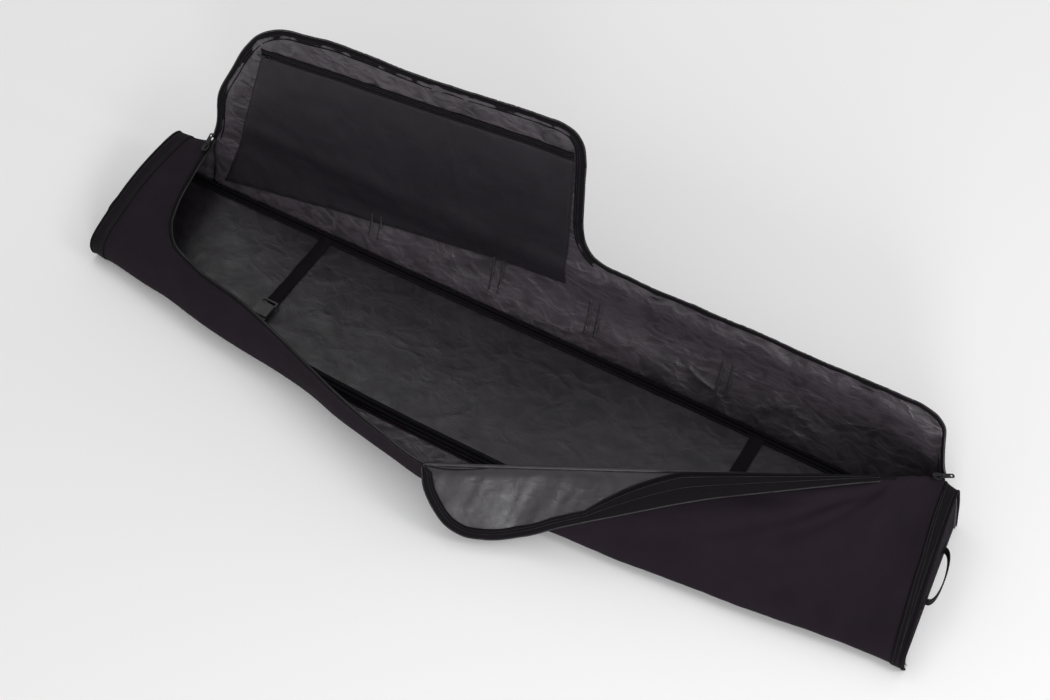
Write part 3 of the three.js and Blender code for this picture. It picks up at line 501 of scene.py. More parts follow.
def section_curve(points, shares):
    fine, lengths = rounded(points, 80)
    return at_lengths(fine, lengths, shares * lengths[-1])


near_rows = []
for x, c in zip(near_xs, near_controls):
    outline = np.array([(c[0], 0), (c[1], c[2]), (c[3], c[4]), (c[5], c[6])]) * MM
    curve = section_curve(outline, near_ts)
    near_rows.append(np.column_stack([np.full(len(curve), x), curve]))
near = Surface(near_xs, near_ts, slanted(near_rows)).face((0, -1, 0.5))

# far wall and flap: x along, z up
far_xs = np.linspace(-0.812, 0.812, 407)
far_zs = np.linspace(0, 0.492, 124)
far_table = np.array(FAR, float)
far_controls = pchip(far_table[:, 0], far_table[:, 1:], far_xs / MM)
far_rows = []
for x, c in zip(far_xs, far_controls):
    high = max(c[4] + 25, 240)
    lean = c[3] + (high - c[4]) * FLAP_TAN if x > 0.735 else float(flap_y(high))
    places = [0, c[2], c[4], high, high + 280]
    ys = [c[0], c[1], c[3], lean, lean + 280 * FLAP_TAN]
    y = pchip(places, ys, far_zs / MM)
    far_rows.append(np.column_stack([np.full(len(y), x), y * MM, far_zs]))
far = Surface(far_xs, far_zs, slanted(far_rows)).face((0, 1, 0))

# near flap: distance along the crease, width beyond it
crease_length = float(np.linalg.norm(CREASE_END - CREASE_START))
crease_axis = (CREASE_END - CREASE_START) / crease_length
flap_out = unit(np.array((crease_axis[1], -crease_axis[0], 0)))
flap_down = unit(np.cross(crease_axis, flap_out))


def flap_point(along, width):
    tilt = np.radians(np.interp(along / MM, *zip(*NEAR_FLAP_TILT)))
    return (CREASE_START + crease_axis * along[..., None] + flap_out * (width * np.cos(tilt))[..., None]
            + flap_down * (width * np.sin(tilt))[..., None])


flap_as = np.linspace(0, crease_length, 190)
flap_ws = np.linspace(0, 0.13, 34)
flap_grid = np.meshgrid(flap_as, flap_ws, indexing="ij")
near_flap = Surface(flap_as, flap_ws, flap_point(*flap_grid)).face((0, 0, 1))

# ---------------------------------------------------------------- soft folds


def bell(values, centre, width):
    return np.exp(-((values - centre) / width) ** 2)


def ramped(values, reach):
    """0 at and below 0, rising to 1 at reach."""
    return np.clip(values / reach, 0, 1)


near_grid = near.points
height_share = near_ts[None, :] * np.ones((len(near_xs), 1))
edge_calm = np.sin(np.pi * height_share) ** 0.5
broad = field(near_grid * np.array((1, 1.4, 1.4)), 6.0, 1, 2)
fan_centre = np.array((0.74, 0.12, 0.14))
away = near_grid - fan_centre
fan_angle = np.arctan2(away[..., 1], away[..., 0])
fan_reach = np.linalg.norm(away, axis=-1)
fan = np.sin(fan_angle * 26 + 3 * broad) * bell(fan_reach, 0.22, 0.2) * (near_grid[..., 0] < 0.80)
ripples = field(near_grid * np.array((0.6, 1, 1.6)), 15, 2, 3)
near.raise_by(MM * edge_calm * (3.2 * broad + 0.8 * fan + 0.9 * ripples))


def fold_heights(grid, line, depth, width):
    """A valley along a line in plan, with a softer ridge on its upper side, fading in and out along it."""
    line = smooth_line(np.array(line, float) * MM, count=40)
    best = np.full(grid.shape[:2], 1e9)
    signed, along = np.zeros_like(best), np.zeros_like(best)
    for k, (a, b) in enumerate(zip(line[:-1], line[1:])):
        d = b - a
        rel = grid[..., :2] - a
        t = np.clip((rel @ d) / (d @ d), 0, 1)
        gap = rel - t[..., None] * d
        distance = np.linalg.norm(gap, axis=-1)
        side = np.sign(d[0] * rel[..., 1] - d[1] * rel[..., 0])
        closer = distance < best
        best = np.where(closer, distance, best)
        signed = np.where(closer, distance * side, signed)
        along = np.where(closer, (k + t) / (len(line) - 1), along)
    width = width * MM * (0.7 + 1.1 * along)
    fade = np.sin(np.pi * np.clip(along, 0.0, 1.0) ** 0.6) ** 0.7
    valley = bell(signed, 0.0, width)
    ridge = bell(signed, -2.2 * width, 1.7 * width)
    return depth * MM * fade * (0.75 * ridge - valley)


# lines in plan, depth and width of the tension folds
NEAR_FOLDS = [
    ([(697, 62), (679, 40), (653, 14), (620, -18), (587, -51), (558, -73), (516, -105), (454, -143),
      (369, -182)], 5.5, 8),
    ([(694, 52), (666, 9), (646, -20), (623, -47), (597, -70), (558, -98), (520, -120)], 3.5, 7),
    ([(656, 25), (613, -8), (574, -32), (535, -49), (493, -65), (454, -87)], 3.0, 9),
    ([(733, 96), (738, 51), (744, 0), (746, -60)], 1.6, 9),
    ([(-620, -92), (-560, -120), (-470, -140), (-380, -160), (-280, -190)], 2.0, 10),
]
upper_side = ramped(height_share - 0.25, 0.2) * ramped(1 - height_share, 0.05)
for line, depth, width in NEAR_FOLDS:
    near.raise_by(upper_side * fold_heights(near_grid, line, depth, width))

far_grid = far.points
far_calm = ramped(far_grid[..., 2], 0.05)
broad = field(far_grid * np.array((1, 1, 0.6)), 5.0, 3, 2)
ripples = field(far_grid * np.array((1.3, 1, 0.7)), 14, 4, 3)
belly = 9.0 * bell(far_grid[..., 2], 0.105, 0.042) - 3.0 * bell(far_grid[..., 2], 0.172, 0.02)
inner_span = ramped(0.74 - far_grid[..., 0], 0.1) * ramped(far_grid[..., 0] + 0.70, 0.1)
far.raise_by(MM * far_calm * (3.0 * broad + 1.4 * ripples + belly * inner_span))

flap_calm = ramped(flap_grid[1], 0.02)
broad = field(near_flap.points, 8.0, 5, 2)
near_flap.raise_by(MM * flap_calm * (3.0 + 3.0 * broad))

# ---------------------------------------------------------------- mesh building


def spread(a, b):
    """Pairs of an outer and an inner coordinate for every point of a grid."""
    return np.stack(np.broadcast_arrays(np.asarray(a)[:, None], np.asarray(b)[None, :]), axis=-1)


def ring_faces(rings, sides, closed=False):
    """Faces round rings of points, with end caps unless the rings close on themselves."""
    faces = [(i * sides + (k + 1) % sides, i * sides + k, (i + 1) % rings * sides + k,
              (i + 1) % rings * sides + (k + 1) % sides)
             for i in range(rings if closed else rings - 1) for k in range(sides)]
    if closed:
        return faces
    return faces + [tuple(range(sides)), tuple((rings - 1) * sides + k for k in reversed(range(sides)))]


STITCH = (0.0031, 0.0007, 0.0005)  # length, width and height of a stitch
STITCH_STEP = 0.0045


class Piece:
    """Collects geometry for one object: points, faces, cloth coordinates and material numbers."""

    def __init__(self, name, *materials):
        self.name, self.materials = name, materials
        self.points, self.faces, self.uvs, self.looks = [], [], [], []
        self.count = 0

    def add(self, points, faces, uvs=None, look=0):
        points = np.asarray(points, float).reshape(-1, 3)
        uvs = points[:, :2] if uvs is None else np.asarray(uvs, float).reshape(-1, 2)
        self.points.append(points)
        self.uvs.append(uvs)
        self.faces += [tuple(int(v) + self.count for v in face) for face in faces]
        self.looks += [look] * len(faces)
        self.count += len(points)

    def solid(self, points, normals, faces, low, high, uvs, look=0, inner_look=None):
        """A closed sheet between two offsets along the normals of a patch of faces."""
        n = len(points)
        low, high = (np.broadcast_to(np.asarray(v, float), (n,))[:, None] for v in (low, high))
        both = np.concatenate([points + normals * high, points + normals * low])
        edges = {}
        for face in faces:
            for i, j in zip(face, list(face[1:]) + [face[0]]):
                edges[(i, j)] = edges.get((i, j), 0) + 1
        rim = [(i, j) for i, j in edges if (j, i) not in edges]
        self.add(both, [], np.concatenate([uvs, uvs]), look)
        base = self.count - 2 * n
        top = [tuple(int(v) + base for v in f) for f in faces]
        bottom = [tuple(int(v) + n + base for v in reversed(f)) for f in faces]
        sides = [(i + base, i + n + base, j + n + base, j + base) for i, j in rim]
        self.faces += top + bottom + sides
        inner = look if inner_look is None else inner_look
        self.looks += [look] * len(top) + [inner] * len(bottom) + [look] * len(sides)

    def tube(self, path, radius, sides=8, look=0, up=(0, 0, 1), closed=False):
        """A round tube along a path."""
        path = np.asarray(path, float)
        tangents = unit(np.roll(path, -1, 0) - np.roll(path, 1, 0) if closed else np.gradient(path, axis=0))
        up = np.broadcast_to(np.asarray(up, float), path.shape)
        side = unit(np.cross(tangents, up))
        lift = unit(np.cross(side, tangents))
        angles = np.arange(sides) * 2 * math.pi / sides
        radius = np.broadcast_to(np.asarray(radius, float), (len(path),))
        rings = (path[:, None] + side[:, None] * (np.cos(angles)[None, :, None] * radius[:, None, None])
                 + lift[:, None] * (np.sin(angles)[None, :, None] * radius[:, None, None]))
        uvs = spread(length_along(path), angles * radius.mean())
        self.add(rings, ring_faces(len(path), sides, closed), uvs, look)

    def strip(self, path, across, width, thickness):
        """Flat webbing along a path with slightly rounded edges; across gives its width's direction."""
        path = np.asarray(path, float)
        across = unit(np.broadcast_to(np.asarray(across, float), path.shape))
        tangents = unit(np.gradient(path, axis=0))
        across = unit(across - tangents * np.sum(across * tangents, axis=1, keepdims=True))
        normal = np.cross(tangents, across)
        w, h = width / 2, thickness / 2
        profile = [(-w, -h * 0.4), (-w + h * 0.6, -h), (w - h * 0.6, -h), (w, -h * 0.4),
                   (w, h * 0.4), (w - h * 0.6, h), (0, h * 1.08), (-w + h * 0.6, h), (-w, h * 0.4)]
        rings = np.stack([path + across * a + normal * b for a, b in profile], axis=1)
        uvs = spread(length_along(path), [a for a, _ in profile])
        self.add(rings, ring_faces(len(path), len(profile)), uvs)

    def bars(self, centres, along, normal, length, width, height, look=0):
        """Many small rounded bars: stitches or zip teeth."""
        along, normal = unit(np.asarray(along, float)), unit(np.asarray(normal, float))
        side = unit(np.cross(normal, along))
        l, w, h = length / 2, width / 2, height / 2
        corners = [(-l, 0, -h), (-l * 0.72, -w, -h), (l * 0.72, -w, -h), (l, 0, -h), (l * 0.72, w, -h),
                   (-l * 0.72, w, -h), (-l * 0.72, 0, h), (l * 0.72, 0, h)]
        shape = [(0, 5, 4, 3, 2, 1), (0, 1, 6), (1, 2, 7, 6), (2, 3, 7), (3, 4, 7), (4, 5, 6, 7), (5, 0, 6)]
        points = np.stack([centres + along * a + side * b + normal * c for a, b, c in corners], axis=1)
        faces = [tuple(v + 8 * i for v in f) for i in range(len(centres)) for f in shape]
        self.add(points, faces, None, look)

    def stitches(self, points, normals, look=1):
        """A row of stitches along a line of points."""
        self.bars(points, np.gradient(points, axis=0), normals, *STITCH, look)

    def make(self, body=None, blend=None, slot=None, replaces=()):
        points = np.concatenate(self.points)
        uvs = np.concatenate(self.uvs)
        mesh = bpy.data.meshes.new(self.name)
        mesh.from_pydata(points.tolist(), [], self.faces)
        mesh.update()
        layer = mesh.uv_layers.new(name="cloth")
        corner_points = np.empty(len(mesh.loops), np.int32)
        mesh.loops.foreach_get("vertex_index", corner_points)
        layer.data.foreach_set("uv", uvs[corner_points].astype(np.float32).ravel())
        for material in self.materials:
            mesh.materials.append(material)
        mesh.polygons.foreach_set("material_index", np.array(self.looks, np.int32))
        mesh.polygons.foreach_set("use_smooth", np.full(len(mesh.polygons), True))
        edit = bmesh.new()
        edit.from_mesh(mesh)
        bmesh.ops.recalc_face_normals(edit, faces=edit.faces)
        edit.to_mesh(mesh)
        edit.free()
        obj = bpy.data.objects.new(self.name, mesh)
        scene.collection.objects.link(obj)
        return settle(obj, body, blend, replaces)


# the far flap's fold, where cloth turns from the shell to the flap
fold_direction = unit(np.array((FOLD_RIGHT[0] - FOLD_LEFT[0], 0, FOLD_RIGHT[1] - FOLD_LEFT[1])).astype(float))
fold_up = np.array((-fold_direction[2], 0, fold_direction[0]))
fold_point = np.array((FOLD_LEFT[0], 0, FOLD_LEFT[1])) * MM
FOLD_BLEND = ("shell", "far_flap", tuple(fold_point - fold_up * 0.004), tuple(fold_point + fold_up * 0.035))


def settle(obj, body, blend, replaces):
    """Sets what a piece rides on and stands for."""
    if blend:
        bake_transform(obj)
    else:
        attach(obj, body)
    if replaces:
        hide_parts(*replaces)
    return obj


def grid_faces(n, m, turn=False):
    faces = [(i * m + j, (i + 1) * m + j, (i + 1) * m + j + 1, i * m + j + 1)
             for i in range(n - 1) for j in range(m - 1)]
    return [tuple(reversed(f)) for f in faces] if turn else faces


def fill_outline(outline, spacing):
    """Even grid of points inside a closed outline, joined into faces."""
    outline = np.asarray(outline, float)
    low, high = outline.min(0), outline.max(0)
    xs = np.arange(low[0] + spacing * 0.4, high[0], spacing)
    ys = np.arange(low[1] + spacing * 0.4, high[1], spacing)
    gx, gy = np.meshgrid(xs, ys, indexing="ij")
    inside = np.zeros(gx.shape, bool)
    clear = np.full(gx.shape, 1e9)
    for (x0, y0), (x1, y1) in zip(outline, np.roll(outline, -1, 0)):
        crosses = (y0 > gy) != (y1 > gy)
        with np.errstate(divide="ignore", invalid="ignore"):
            at = (x1 - x0) * (gy - y0) / (y1 - y0) + x0
        inside ^= crosses & (gx < at)
        length = max((x1 - x0) ** 2 + (y1 - y0) ** 2, 1e-18)
        t = np.clip(((gx - x0) * (x1 - x0) + (gy - y0) * (y1 - y0)) / length, 0, 1)
        clear = np.minimum(clear, np.hypot(gx - x0 - t * (x1 - x0), gy - y0 - t * (y1 - y0)))
    keep = inside & (clear > spacing * 0.45)
    points = np.concatenate([outline, np.stack([gx[keep], gy[keep]], axis=1)])
    edges = [(i, (i + 1) % len(outline)) for i in range(len(outline))]
    verts, _, faces, _, _, _ = delaunay_2d_cdt(
        [Vector(p) for p in points], edges, [list(range(len(outline)))], 1, 1e-6)
    return np.array([tuple(v) for v in verts]), [tuple(f) for f in faces]


# ---------------------------------------------------------------- left and right ends of the shell

CAP_SPAN = END_X * MM - 0.627
FAR_SPAN = END_X * MM - 0.730
WALL_SHARES = np.linspace(0, 1, 61)
zip_points = LEFT_ZIP * MM
zip_s = length_along(zip_points)


def zip_line(v):
    return catmull(zip_s / zip_s[-1], zip_points, np.asarray(v, float))


WRAP_U = np.linspace(0, 1, 47)
WRAP_S = np.linspace(0, 3, 181)


def left_wrap():
    """The closed left end: up the near wall, over the cap, down the far wall."""
    rows = np.zeros((len(WRAP_U), len(WRAP_S), 3))
    corner_far = far.at(-0.730, 0.1035)
    for i, u in enumerate(WRAP_U):
        x_near = -0.812 + CAP_SPAN * u
        x_far = -0.812 + FAR_SPAN * u
        z_far = np.interp(x_far / MM, far_table[:, 0], far_table[:, 5]) * MM
        wall = near.at(x_near, WALL_SHARES)
        back = far.at(x_far, z_far * WALL_SHARES[::-1])
        v = WALL_SHARES[:, None]
        edge = zip_line(WALL_SHARES)
        edge += (1 - v) * (near.at(-0.627, 1.0) - edge[0]) + v * (corner_far - edge[-1])
        arch = near.at(-0.812, 1.0) * (1 - v) + far.at(-0.812, 0.095) * v
        arch[:, 2] += 0.016 * np.sin(np.pi * WALL_SHARES)
        ruled_v = wall[-1] * (1 - v) + back[0] * v
        ruled_u = arch * (1 - u) + edge * u
        corners = (1 - u) * ((1 - v) * arch[0] + v * arch[-1]) + u * ((1 - v) * edge[0] + v * edge[-1])
        cap = ruled_u + ruled_v - corners
        rows[i] = np.concatenate([wall[:-1], cap[:-1], back])
    return rows


def soften(rows, centres, reach, strength, iterations=60):
    """Rounds the grid's lines near some places along them; strength holds the share for each line."""
    s = np.arange(rows.shape[1])
    weight = np.zeros(rows.shape[1])
    for centre in centres:
        weight = np.maximum(weight, np.clip(1 - np.abs(s - centre) / reach, 0, 1))
    weight = weight[None, :, None] * strength[:, None, None]
    for _ in range(iterations):
        average = rows.copy()
        average[:, 1:-1] = (rows[:, :-2] + rows[:, 2:]) / 2
        rows = rows + (average - rows) * weight
    return rows


wrap_rows = soften(left_wrap(), (60, 120), 24, 0.9 * (1 - WRAP_U ** 4))
wrap = Surface(WRAP_U, WRAP_S, wrap_rows).face((0, 0, 1))
over_cap = np.sin(np.pi * (WRAP_S - 1).clip(0, 1)).clip(0, 1)
cap_share = over_cap[None, :] * np.sin(np.pi * WRAP_U * 0.96)[:, None]
wrap.raise_by(MM * cap_share * (2.5 + 3.0 * field(wrap.points, 9, 7, 2)))


RIGHT_X = np.linspace(0.765, 0.812, 13)


def right_wrap():
    """The closed right end: up the near wall and down the far wall."""
    rows = []
    for x in RIGHT_X:
        z_top = np.interp(x / MM, far_table[:, 0], far_table[:, 5]) * MM
        rows.append(np.concatenate([near.at(x, WALL_SHARES), far.at(x, z_top * WALL_SHARES[::-1])]))
    return np.array(rows)


right_rows = soften(right_wrap(), (60.5,), 16, 0.9 * ramped(RIGHT_X - 0.765, 0.012))
wrap_right = Surface(RIGHT_X, np.linspace(0, 2, 122), right_rows).face((0, 0, 1))

# ---------------------------------------------------------------- outer cloth and lining of the near side

OUTER_THICK = 0.0015
LINING_THICK = 0.0009
near_cols = near_xs[(near_xs >= -0.6271) & (near_xs <= 0.7651)]
near_cols = np.concatenate([[-0.627], near_cols[1:-1], [0.765]])


def lining_depth(share_to_edge):
    """Depth of the lining under the outer face: thin at the zip, thicker over the foam."""
    return -(0.0026 + 0.0040 * np.clip(share_to_edge / 0.25, 0, 1))


def near_side(name, material, thickness, slot, replaced, lining=False):
    """Near wall, left end and right end in one sheet, welded where they meet."""
    a, b = np.meshgrid(near_cols, near_ts, indexing="ij")
    open_top = np.clip(1 - b, 0, 1)
    points, normals = near.at(a, b, lining_depth(open_top) if lining else 0.0), near.normal(a, b)
    if lining:
        crinkle = MM * 1.6 * field(points, 26, 11, 2) * ramped(open_top, 0.2)
        points = points + normals * crinkle[..., None]
    lengths = np.linalg.norm(near.at(a, 1.0) - near.at(a, 0.0), axis=-1)
    parts = [(points, normals, np.stack([a, b * lengths], axis=-1))]
    u, s = np.meshgrid(WRAP_U, WRAP_S, indexing="ij")
    points = wrap.at(u, s, lining_depth((1 - u) * 1.2) if lining else 0.0)
    parts.append((points, wrap.normal(u, s), np.stack([points[..., 0], s * 0.15], axis=-1)))
    r, s = np.meshgrid(RIGHT_X, wrap_right.b, indexing="ij")
    points = wrap_right.at(r, s, -0.0066 if lining else 0.0)
    parts.append((points, wrap_right.normal(r, s), np.stack([r, s * 0.3], axis=-1)))
    faces, start = [], 0
    for points, _, _ in parts:
        faces += [tuple(v + start for v in face) for face in grid_faces(*points.shape[:2])]
        start += points.size // 3
    points, normals, uvs = (
        np.concatenate([part[k].reshape(-1, part[k].shape[-1]) for part in parts]) for k in range(3))
    points, normals, uvs, faces = weld(points, normals, uvs, faces, 0.0007)
    piece = Piece(name, material)
    piece.solid(points, normals, faces, -thickness, 0.0, uvs)
    return piece.make("shell", slot=slot, replaces=replaced)


def weld(points, normals, uvs, faces, reach):
    """Joins points closer than reach, so that patches share one smooth surface."""
    keys = {}
    index = np.empty(len(points), int)
    keep = []
    around = [(x, y, z) for x in (-1, 0, 1) for y in (-1, 0, 1) for z in (-1, 0, 1)]
    for i, p in enumerate(points):
        cell = tuple(np.floor(p / (reach * 2)).astype(int))
        found = None
        for x, y, z in around:
            for j in keys.get((cell[0] + x, cell[1] + y, cell[2] + z), ()):
                if np.abs(points[keep[j]] - p).max() < reach:
                    found = j
        if found is None:
            found = len(keep)
            keep.append(i)
            keys.setdefault(cell, []).append(found)
        index[i] = found
    new_faces = []
    for face in faces:
        ring = []
        for v in face:
            if not ring or index[v] != ring[-1]:
                ring.append(int(index[v]))
        if len(ring) > 1 and ring[0] == ring[-1]:
            ring.pop()
        if len(set(ring)) > 2:
            new_faces.append(tuple(ring))
    summed = np.zeros((len(keep), 3))
    np.add.at(summed, index, normals)
    return points[keep], unit(summed), uvs[keep], new_faces


near_side("outer_near", OUTER, OUTER_THICK, "outer_cloth", ["near_wall", "near_wall_foam", "left_top_cap"])
near_side("lining_near", LIT_LINING, LINING_THICK, "lining_cloth", ["near_wall_lining", "left_cap_lining"],
          lining=True)

# ---------------------------------------------------------------- far wall and far flap, one cloth

far_edge = smooth_line(np.array(FAR_EDGE) * MM, step=0.005)
far_bottom = np.column_stack([np.linspace(0.765, -0.730, 300), np.zeros(300)])
far_right = np.column_stack([np.full(20, 0.765), np.linspace(0.106, 0, 21)[1:]])
far_left = np.column_stack([np.full(20, -0.730), np.linspace(0, 0.103, 21)[:-1]])
far_outline = np.concatenate([far_edge, far_right, far_bottom[1:], far_left[1:]])
far_verts, far_faces = fill_outline(far_outline, 0.0055)


def distance_to(points, path):
    best = np.full(len(points), 1e9)
    for a, b in zip(path[:-1], path[1:]):
        d = b - a
        t = np.clip(((points - a) @ d) / (d @ d), 0, 1)
        best = np.minimum(best, np.linalg.norm(points - a - t[:, None] * d, axis=1))
    return best


pocket_corners = np.array(POCKET_CORNERS) * MM


def inside_pocket(places):
    """Distance inside the pocket's outline, negative outside it."""
    reach = np.full(len(places), 1e9)
    for a, b in zip(pocket_corners, np.roll(pocket_corners, -1, 0)):
        d = unit(b - a)
        reach = np.minimum(reach, d[0] * (places[:, 1] - a[1]) - d[1] * (places[:, 0] - a[0]))
    return reach


def far_depth(places):
    """Offset of the lining's outer face at places (x, z), without its crinkles."""
    places = np.asarray(places, float).reshape(-1, 2)
    to_edge = distance_to(places, far_edge[::3])
    wall_share = ramped(fold_z(places[:, 0] / MM) * MM + 0.01 - places[:, 1], 0.03)
    wall_share = np.maximum(wall_share, (places[:, 0] > 0.09) * 1.0)
    return -(0.0026 + (0.001 + 0.003 * wall_share) * ramped(to_edge, 0.03))


def far_crinkle(places):
    """Wrinkles of the far lining: soft facets below, short puckers across the strip over the pocket."""
    x, z = places[:, 0], places[:, 1]
    spots = np.column_stack([x, np.zeros(len(x)), z])
    calm = ramped(distance_to(places, far_edge[::3]), 0.022) * ramped(z, 0.02)
    over_pocket = ramped(inside_pocket(places) + 0.022, 0.018)
    soft = 2.4 * field(spots * np.array((1.1, 1, 0.8)), 14, 13, 2) - 1.7 * field(spots, 8, 14, 2, ridged=True)
    puckers = field(spots * np.array((1.0, 1, 0.25)), 60, 15, 2) * ramped(z - 0.25, 0.05)
    return MM * calm * (1 - over_pocket) * (soft + 1.5 * puckers)


def far_side(name, material, offset, thickness, slot, replaced):
    piece = Piece(name, material)
    points = far.at(far_verts[:, 0], far_verts[:, 1], offset)
    normals = far.normal(far_verts[:, 0], far_verts[:, 1])
    piece.solid(points, normals, far_faces, -thickness, 0.0, far_verts)
    return piece.make(blend=FOLD_BLEND, slot=slot, replaces=replaced)


far_side("outer_far", OUTER, 0.0, OUTER_THICK, "outer_cloth", ["far_wall", "far_wall_foam", "far_flap"])
far_side("lining_far", LIT_LINING, far_depth(far_verts) + far_crinkle(far_verts), LINING_THICK, "lining_cloth",
         ["far_wall_lining", "far_flap_lining"])

# ---------------------------------------------------------------- zip bands along the free edges

BAND = 0.0125
OUTER_BAND = 0.42  # share of the band that shows outside


def zip_band(name, path, normals, body=None, blend=None, replaced=(), width=BAND, inward=1.0):
    """Tape, its bound inner edge, stitch rows and coil along a free edge; normals point out of the bag."""
    piece = Piece(name, TAPE, COIL, THREAD)
    inside = unit(np.cross(normals, unit(np.gradient(path, axis=0)))) * inward
    widths = np.broadcast_to(np.asarray(width, float), (len(path),))
    shares = np.linspace(0, 1, 6)
    across = -0.0015 + widths[:, None] * shares[None, :]
    inner_rows = path[:, None] + inside[:, None] * across[..., None]
    uvs = np.stack([np.broadcast_to(length_along(path)[:, None], across.shape), across], axis=-1)
    grid_normals = np.repeat(normals[:, None], len(shares), axis=1)
    faces = grid_faces(len(path), len(shares), turn=True)
    outer_rows = path[:, None] + (inner_rows - path[:, None]) * OUTER_BAND
    for grid, depth, thick in ((inner_rows, -0.0042, 0.0010), (outer_rows, 0.0003, 0.0006)):
        piece.solid((grid + grid_normals * depth).reshape(-1, 3), grid_normals.reshape(-1, 3), faces,
                    0.0, thick, uvs.reshape(-1, 2))
    piece.tube(path + inside * widths[:, None] - normals * 0.0042, 0.0015, 6, up=normals)
    piece.tube(path - inside * 0.0006 - normals * 0.0016, 0.0026, 8, up=normals)
    dense = even_path(np.column_stack([path, normals, inside, widths]), STITCH_STEP)
    at, n, i, w = dense[:, :3], unit(dense[:, 3:6]), unit(dense[:, 6:9]), dense[:, 9:10]
    t = unit(np.gradient(at, axis=0))
    for share, depth in ((0.45, -0.0046), (0.82, -0.0046), (0.30, 0.0011)):
        piece.bars(at + i * w * share + n * depth, t, n * np.sign(depth), *STITCH, 2)
    dense = even_path(np.column_stack([path, normals, inside]), 0.0023)
    at, n, i = dense[:, :3], unit(dense[:, 3:6]), unit(dense[:, 6:9])
    piece.bars(at - i * 0.0028 - n * 0.0016, i, n, 0.0044, 0.0013, 0.0030, 1)
    return piece.make(body, blend, "zip_tape", replaced)


far_path = far.at(far_edge[:, 0], far_edge[:, 1])
far_normals = far.normal(far_edge[:, 0], far_edge[:, 1])
zip_band("zip_band_far", far_path, far_normals, blend=FOLD_BLEND,
         replaced=["zip_tape_far_wall", "zip_tape_far_flap"])

cap_v = np.linspace(2, 1, 60)
cap_edge = wrap.at(1.0, cap_v)
cap_normal = wrap.normal(0.99, cap_v)
near_edge_x = np.linspace(-0.627, 0.020, 140)[1:]
wall_edge = near.at(near_edge_x, 1.0)
wall_normal = near.normal(near_edge_x, 0.99)
near_path = np.concatenate([cap_edge, wall_edge])
near_normals = np.concatenate([cap_normal, wall_normal])
for _ in range(30):
    near_normals[1:-1] = unit(near_normals[:-2] + near_normals[1:-1] + near_normals[2:])
    near_path[45:75] = (near_path[44:74] + near_path[46:76]) / 2
zip_band("zip_band_near", near_path, near_normals, "shell", replaced=["zip_tape_near_wall"], inward=-1.0)

# ---------------------------------------------------------------- near flap

flap_edge = smooth_line(np.array(NEAR_FLAP_EDGE) * MM, step=0.005)
flap_outline = np.concatenate([
    flap_edge, np.column_stack([np.linspace(0.735, 0.0, 150), np.zeros(150)])])
flap_verts, flap_faces = fill_outline(flap_outline, 0.005)
flap_points = near_flap.at(flap_verts[:, 0], flap_verts[:, 1], 0.0)
flap_normals = near_flap.normal(flap_verts[:, 0], flap_verts[:, 1])
to_edge = distance_to(flap_verts, flap_edge[::3])
crease_near = ramped(flap_verts[:, 1], 0.012)
# soft streaks that run from the zip towards the crease
streaks = field(np.column_stack([
    flap_verts[:, 0] + 0.5 * flap_verts[:, 1], 0.22 * flap_verts[:, 1] - 0.1 * flap_verts[:, 0],
    np.zeros(len(flap_verts))]), 30, 21, 2)
flap_points = flap_points + flap_normals * (MM * 1.7 * streaks * crease_near)[:, None]
piece = Piece("near_flap_cloth", SHADED_LINING, OUTER)
thick = 0.0035 + 0.0015 * ramped(to_edge, 0.02)
flap_top = -0.0005 + thick * crease_near + 0.0012
piece.solid(flap_points, flap_normals, flap_faces, -0.0005, flap_top, flap_verts, 0, 1)
piece.make("near_flap", slot="lining_cloth", replaces=["near_flap", "near_flap_lining"])
piece = Piece("crease_roll", SHADED_LINING)
roll = CREASE_START + crease_axis * np.linspace(-0.002, crease_length - 0.14, 130)[:, None]
piece.tube(roll, 0.0031 * np.clip((130 - np.arange(130)) / 50, 0.25, 1) ** 0.5, 10, up=(0, 0, 1))
piece.make("shell", slot="lining_cloth")
piece = Piece("crease_cord", TAPE)
roll = CREASE_START + crease_axis * np.linspace(crease_length - 0.16, crease_length + 0.004, 40)[:, None]
piece.tube(roll, 0.0030 * np.clip((np.arange(40) + 6) / 12, 0.3, 1), 10, up=(0, 0, 1))
piece.make("shell", slot="zip_tape")
flap_zip = near_flap.at(flap_edge[:, 0], flap_edge[:, 1], 0.0035)
flap_zip_normals = near_flap.normal(flap_edge[:, 0], flap_edge[:, 1])
cover = ramped(flap_edge[:, 0] - 0.27, 0.17)  # the band takes over the narrowing flap
flap_room = np.maximum(flap_edge[:, 1] - 0.002, 0.003)
flap_width = np.minimum(BAND * (1 - cover) + flap_edge[:, 1] * cover, flap_room)
zip_band("zip_band_near_flap", flap_zip, -flap_zip_normals, "near_flap", replaced=["zip_tape_near_flap"],
         width=flap_width, inward=-1.0)

# ---------------------------------------------------------------- pocket on the far flap


def over_lining(places, lift=0.0):
    """Points on the pocket's side of the far lining."""
    places = np.asarray(places, float)
    flat = places.reshape(-1, 2)
    return far.at(flat[:, 0], flat[:, 1], far_depth(flat) - 0.0024 - lift).reshape(places.shape[:-1] + (3,))


def lining_normal(places):
    return -far.normal(places[..., 0], places[..., 1])


